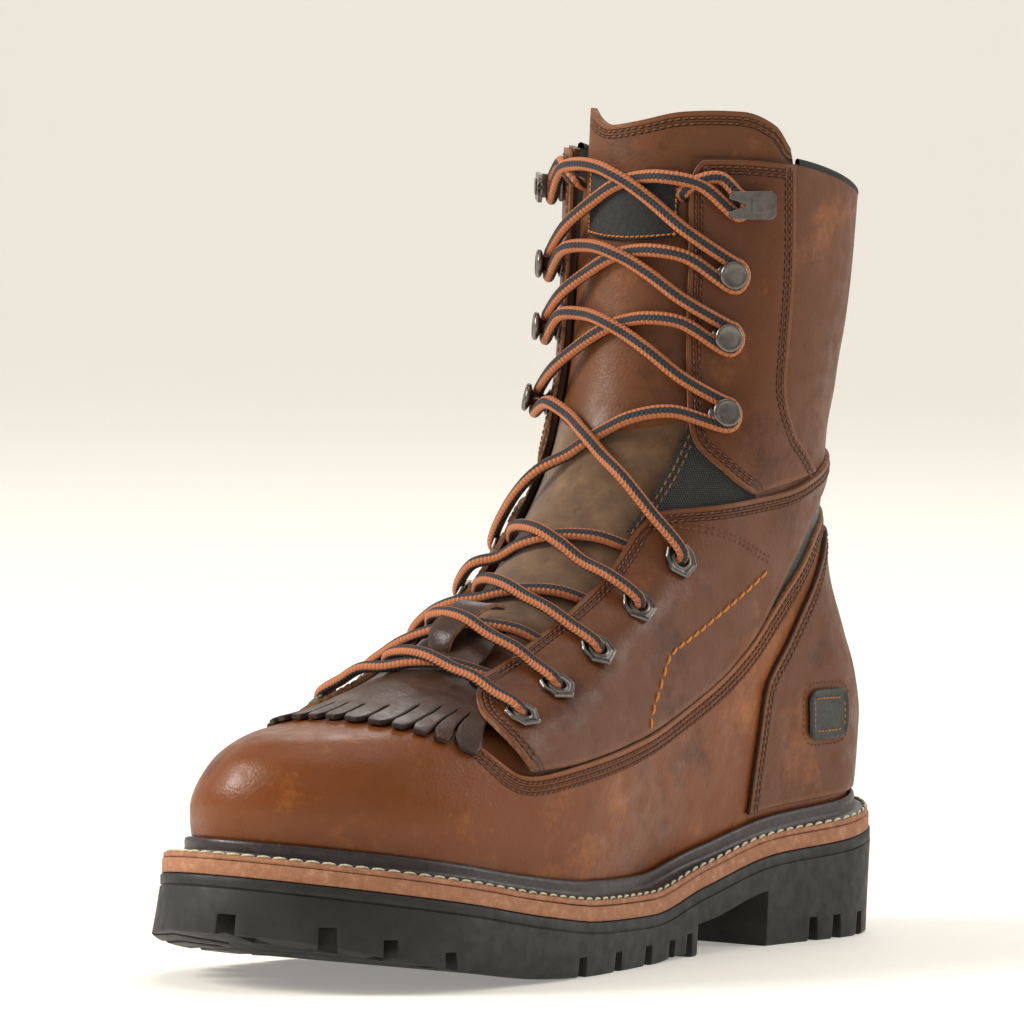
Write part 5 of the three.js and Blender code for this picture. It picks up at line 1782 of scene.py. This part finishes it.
# Studio, in metres
ROOM = 9.0
ROOM_CURVE = 4.2


def build_floor():
    s = Shader("floor")
    grain = s.noise(6, 2)
    s.finish(
        Base_Color=s.ramp(grain, [(0.3, PALE), (0.7, (0.885, 0.855, 0.79))]), Roughness=0.75,
        Emission_Color=PALE, Emission_Strength=0.30,
    )
    profile_line = [(-ROOM, 0.0), (ROOM_CURVE, 0.0)]
    for degrees in range(5, 91, 5):
        angle = math.radians(degrees)
        profile_line.append((ROOM_CURVE + 1.2 * math.sin(angle), 1.2 - 1.2 * math.cos(angle)))
    profile_line.append((ROOM_CURVE + 1.2, 5.0))
    azimuth = math.radians(CAMERA["azimuth"])
    away = Vector((-math.sin(azimuth), math.cos(azimuth), 0))
    across = Vector((math.cos(azimuth), math.sin(azimuth), 0))
    points = []
    for distance, height in profile_line:
        for reach in (-ROOM, ROOM):
            spot = away * distance + across * reach
            points.append((spot.x, spot.y, height))
    faces = [(2 * i, 2 * i + 1, 2 * i + 3, 2 * i + 2) for i in range(len(profile_line) - 1)]
    mesh = bpy.data.meshes.new("floor")
    mesh.from_pydata(points, [], faces)
    mesh.shade_smooth()
    mesh.materials.append(s.material)
    floor = bpy.data.objects.new("floor", mesh)
    bpy.context.scene.collection.objects.link(floor)


CAMERA = {
    "azimuth": 36.33, "elevation": 3.066, "distance": 3.00164, "focal": 9236.8, "roll": 0.721,
    "middle_x": 543.78, "middle_y": 526.10,
}


def build_camera():
    data = bpy.data.cameras.new("camera")
    data.sensor_width = 36
    data.lens = CAMERA["focal"] * 36 / 1024
    data.shift_x = -(CAMERA["middle_x"] - 512) / 1024
    data.shift_y = (CAMERA["middle_y"] - 512) / 1024
    data.clip_end = 50
    camera = bpy.data.objects.new("camera", data)
    bpy.context.scene.collection.objects.link(camera)
    azimuth = math.radians(CAMERA["azimuth"])
    elevation = math.radians(CAMERA["elevation"])
    back = Vector((
        math.sin(azimuth) * math.cos(elevation), -math.cos(azimuth) * math.cos(elevation), math.sin(elevation)
    ))
    target = Vector((SHIFT[0] * 1e-3, SHIFT[1] * 1e-3, 0.140))
    facing_way = (-back).to_track_quat("-Z", "Y").to_matrix().to_4x4()
    roll = Matrix.Rotation(math.radians(CAMERA["roll"]), 4, "Z")
    camera.matrix_world = Matrix.Translation(target + back * CAMERA["distance"]) @ facing_way @ roll
    bpy.context.scene.camera = camera


def lamp(name, place, size, energy, colour, target=(0, 0, 0.12)):
    data = bpy.data.lights.new(name, "AREA")
    data.shape = "RECTANGLE"
    data.size = size[0]
    data.size_y = size[1]
    data.energy = energy
    data.color = colour
    light = bpy.data.objects.new(name, data)
    bpy.context.scene.collection.objects.link(light)
    light.location = place
    light.rotation_euler = (Vector(target) - Vector(place)).to_track_quat("-Z", "Y").to_euler()


def build_light():
    world = bpy.data.worlds.new("studio")
    world.use_nodes = True
    background = world.node_tree.nodes["Background"]
    background.inputs["Color"].default_value = (1.0, 0.985, 0.955, 1)
    background.inputs["Strength"].default_value = 0.32
    bpy.context.scene.world = world
    bpy.context.scene.view_settings.view_transform = "Standard"
    lamp("key", (-1.5, -1.5, 1.5), (1.0, 1.0), 58, (1.0, 0.96, 0.90))
    lamp("fill", (2.0, -1.4, 0.9), (1.2, 1.4), 3, (1.0, 0.98, 0.96))
    lamp("top", (0.1, 0.2, 2.4), (1.6, 1.6), 14, (1.0, 0.98, 0.95))
    lamp("edge", (1.5, 1.5, 1.0), (0.7, 1.4), 16, (1.0, 0.98, 0.95))
    lamp("back", (-1.0, 2.4, 2.2), (2.0, 1.2), 18, (1.0, 0.985, 0.955))
    lamp("wall", (-1.6, 2.2, 3.2), (3.0, 2.0), 16, (1.0, 0.985, 0.965), (-3.2, 4.3, 1.5))


build_camera()
lace_length = build_boot()
build_floor()
build_light()
print(f"lace that shows: {lace_length / 1000:.2f} m")
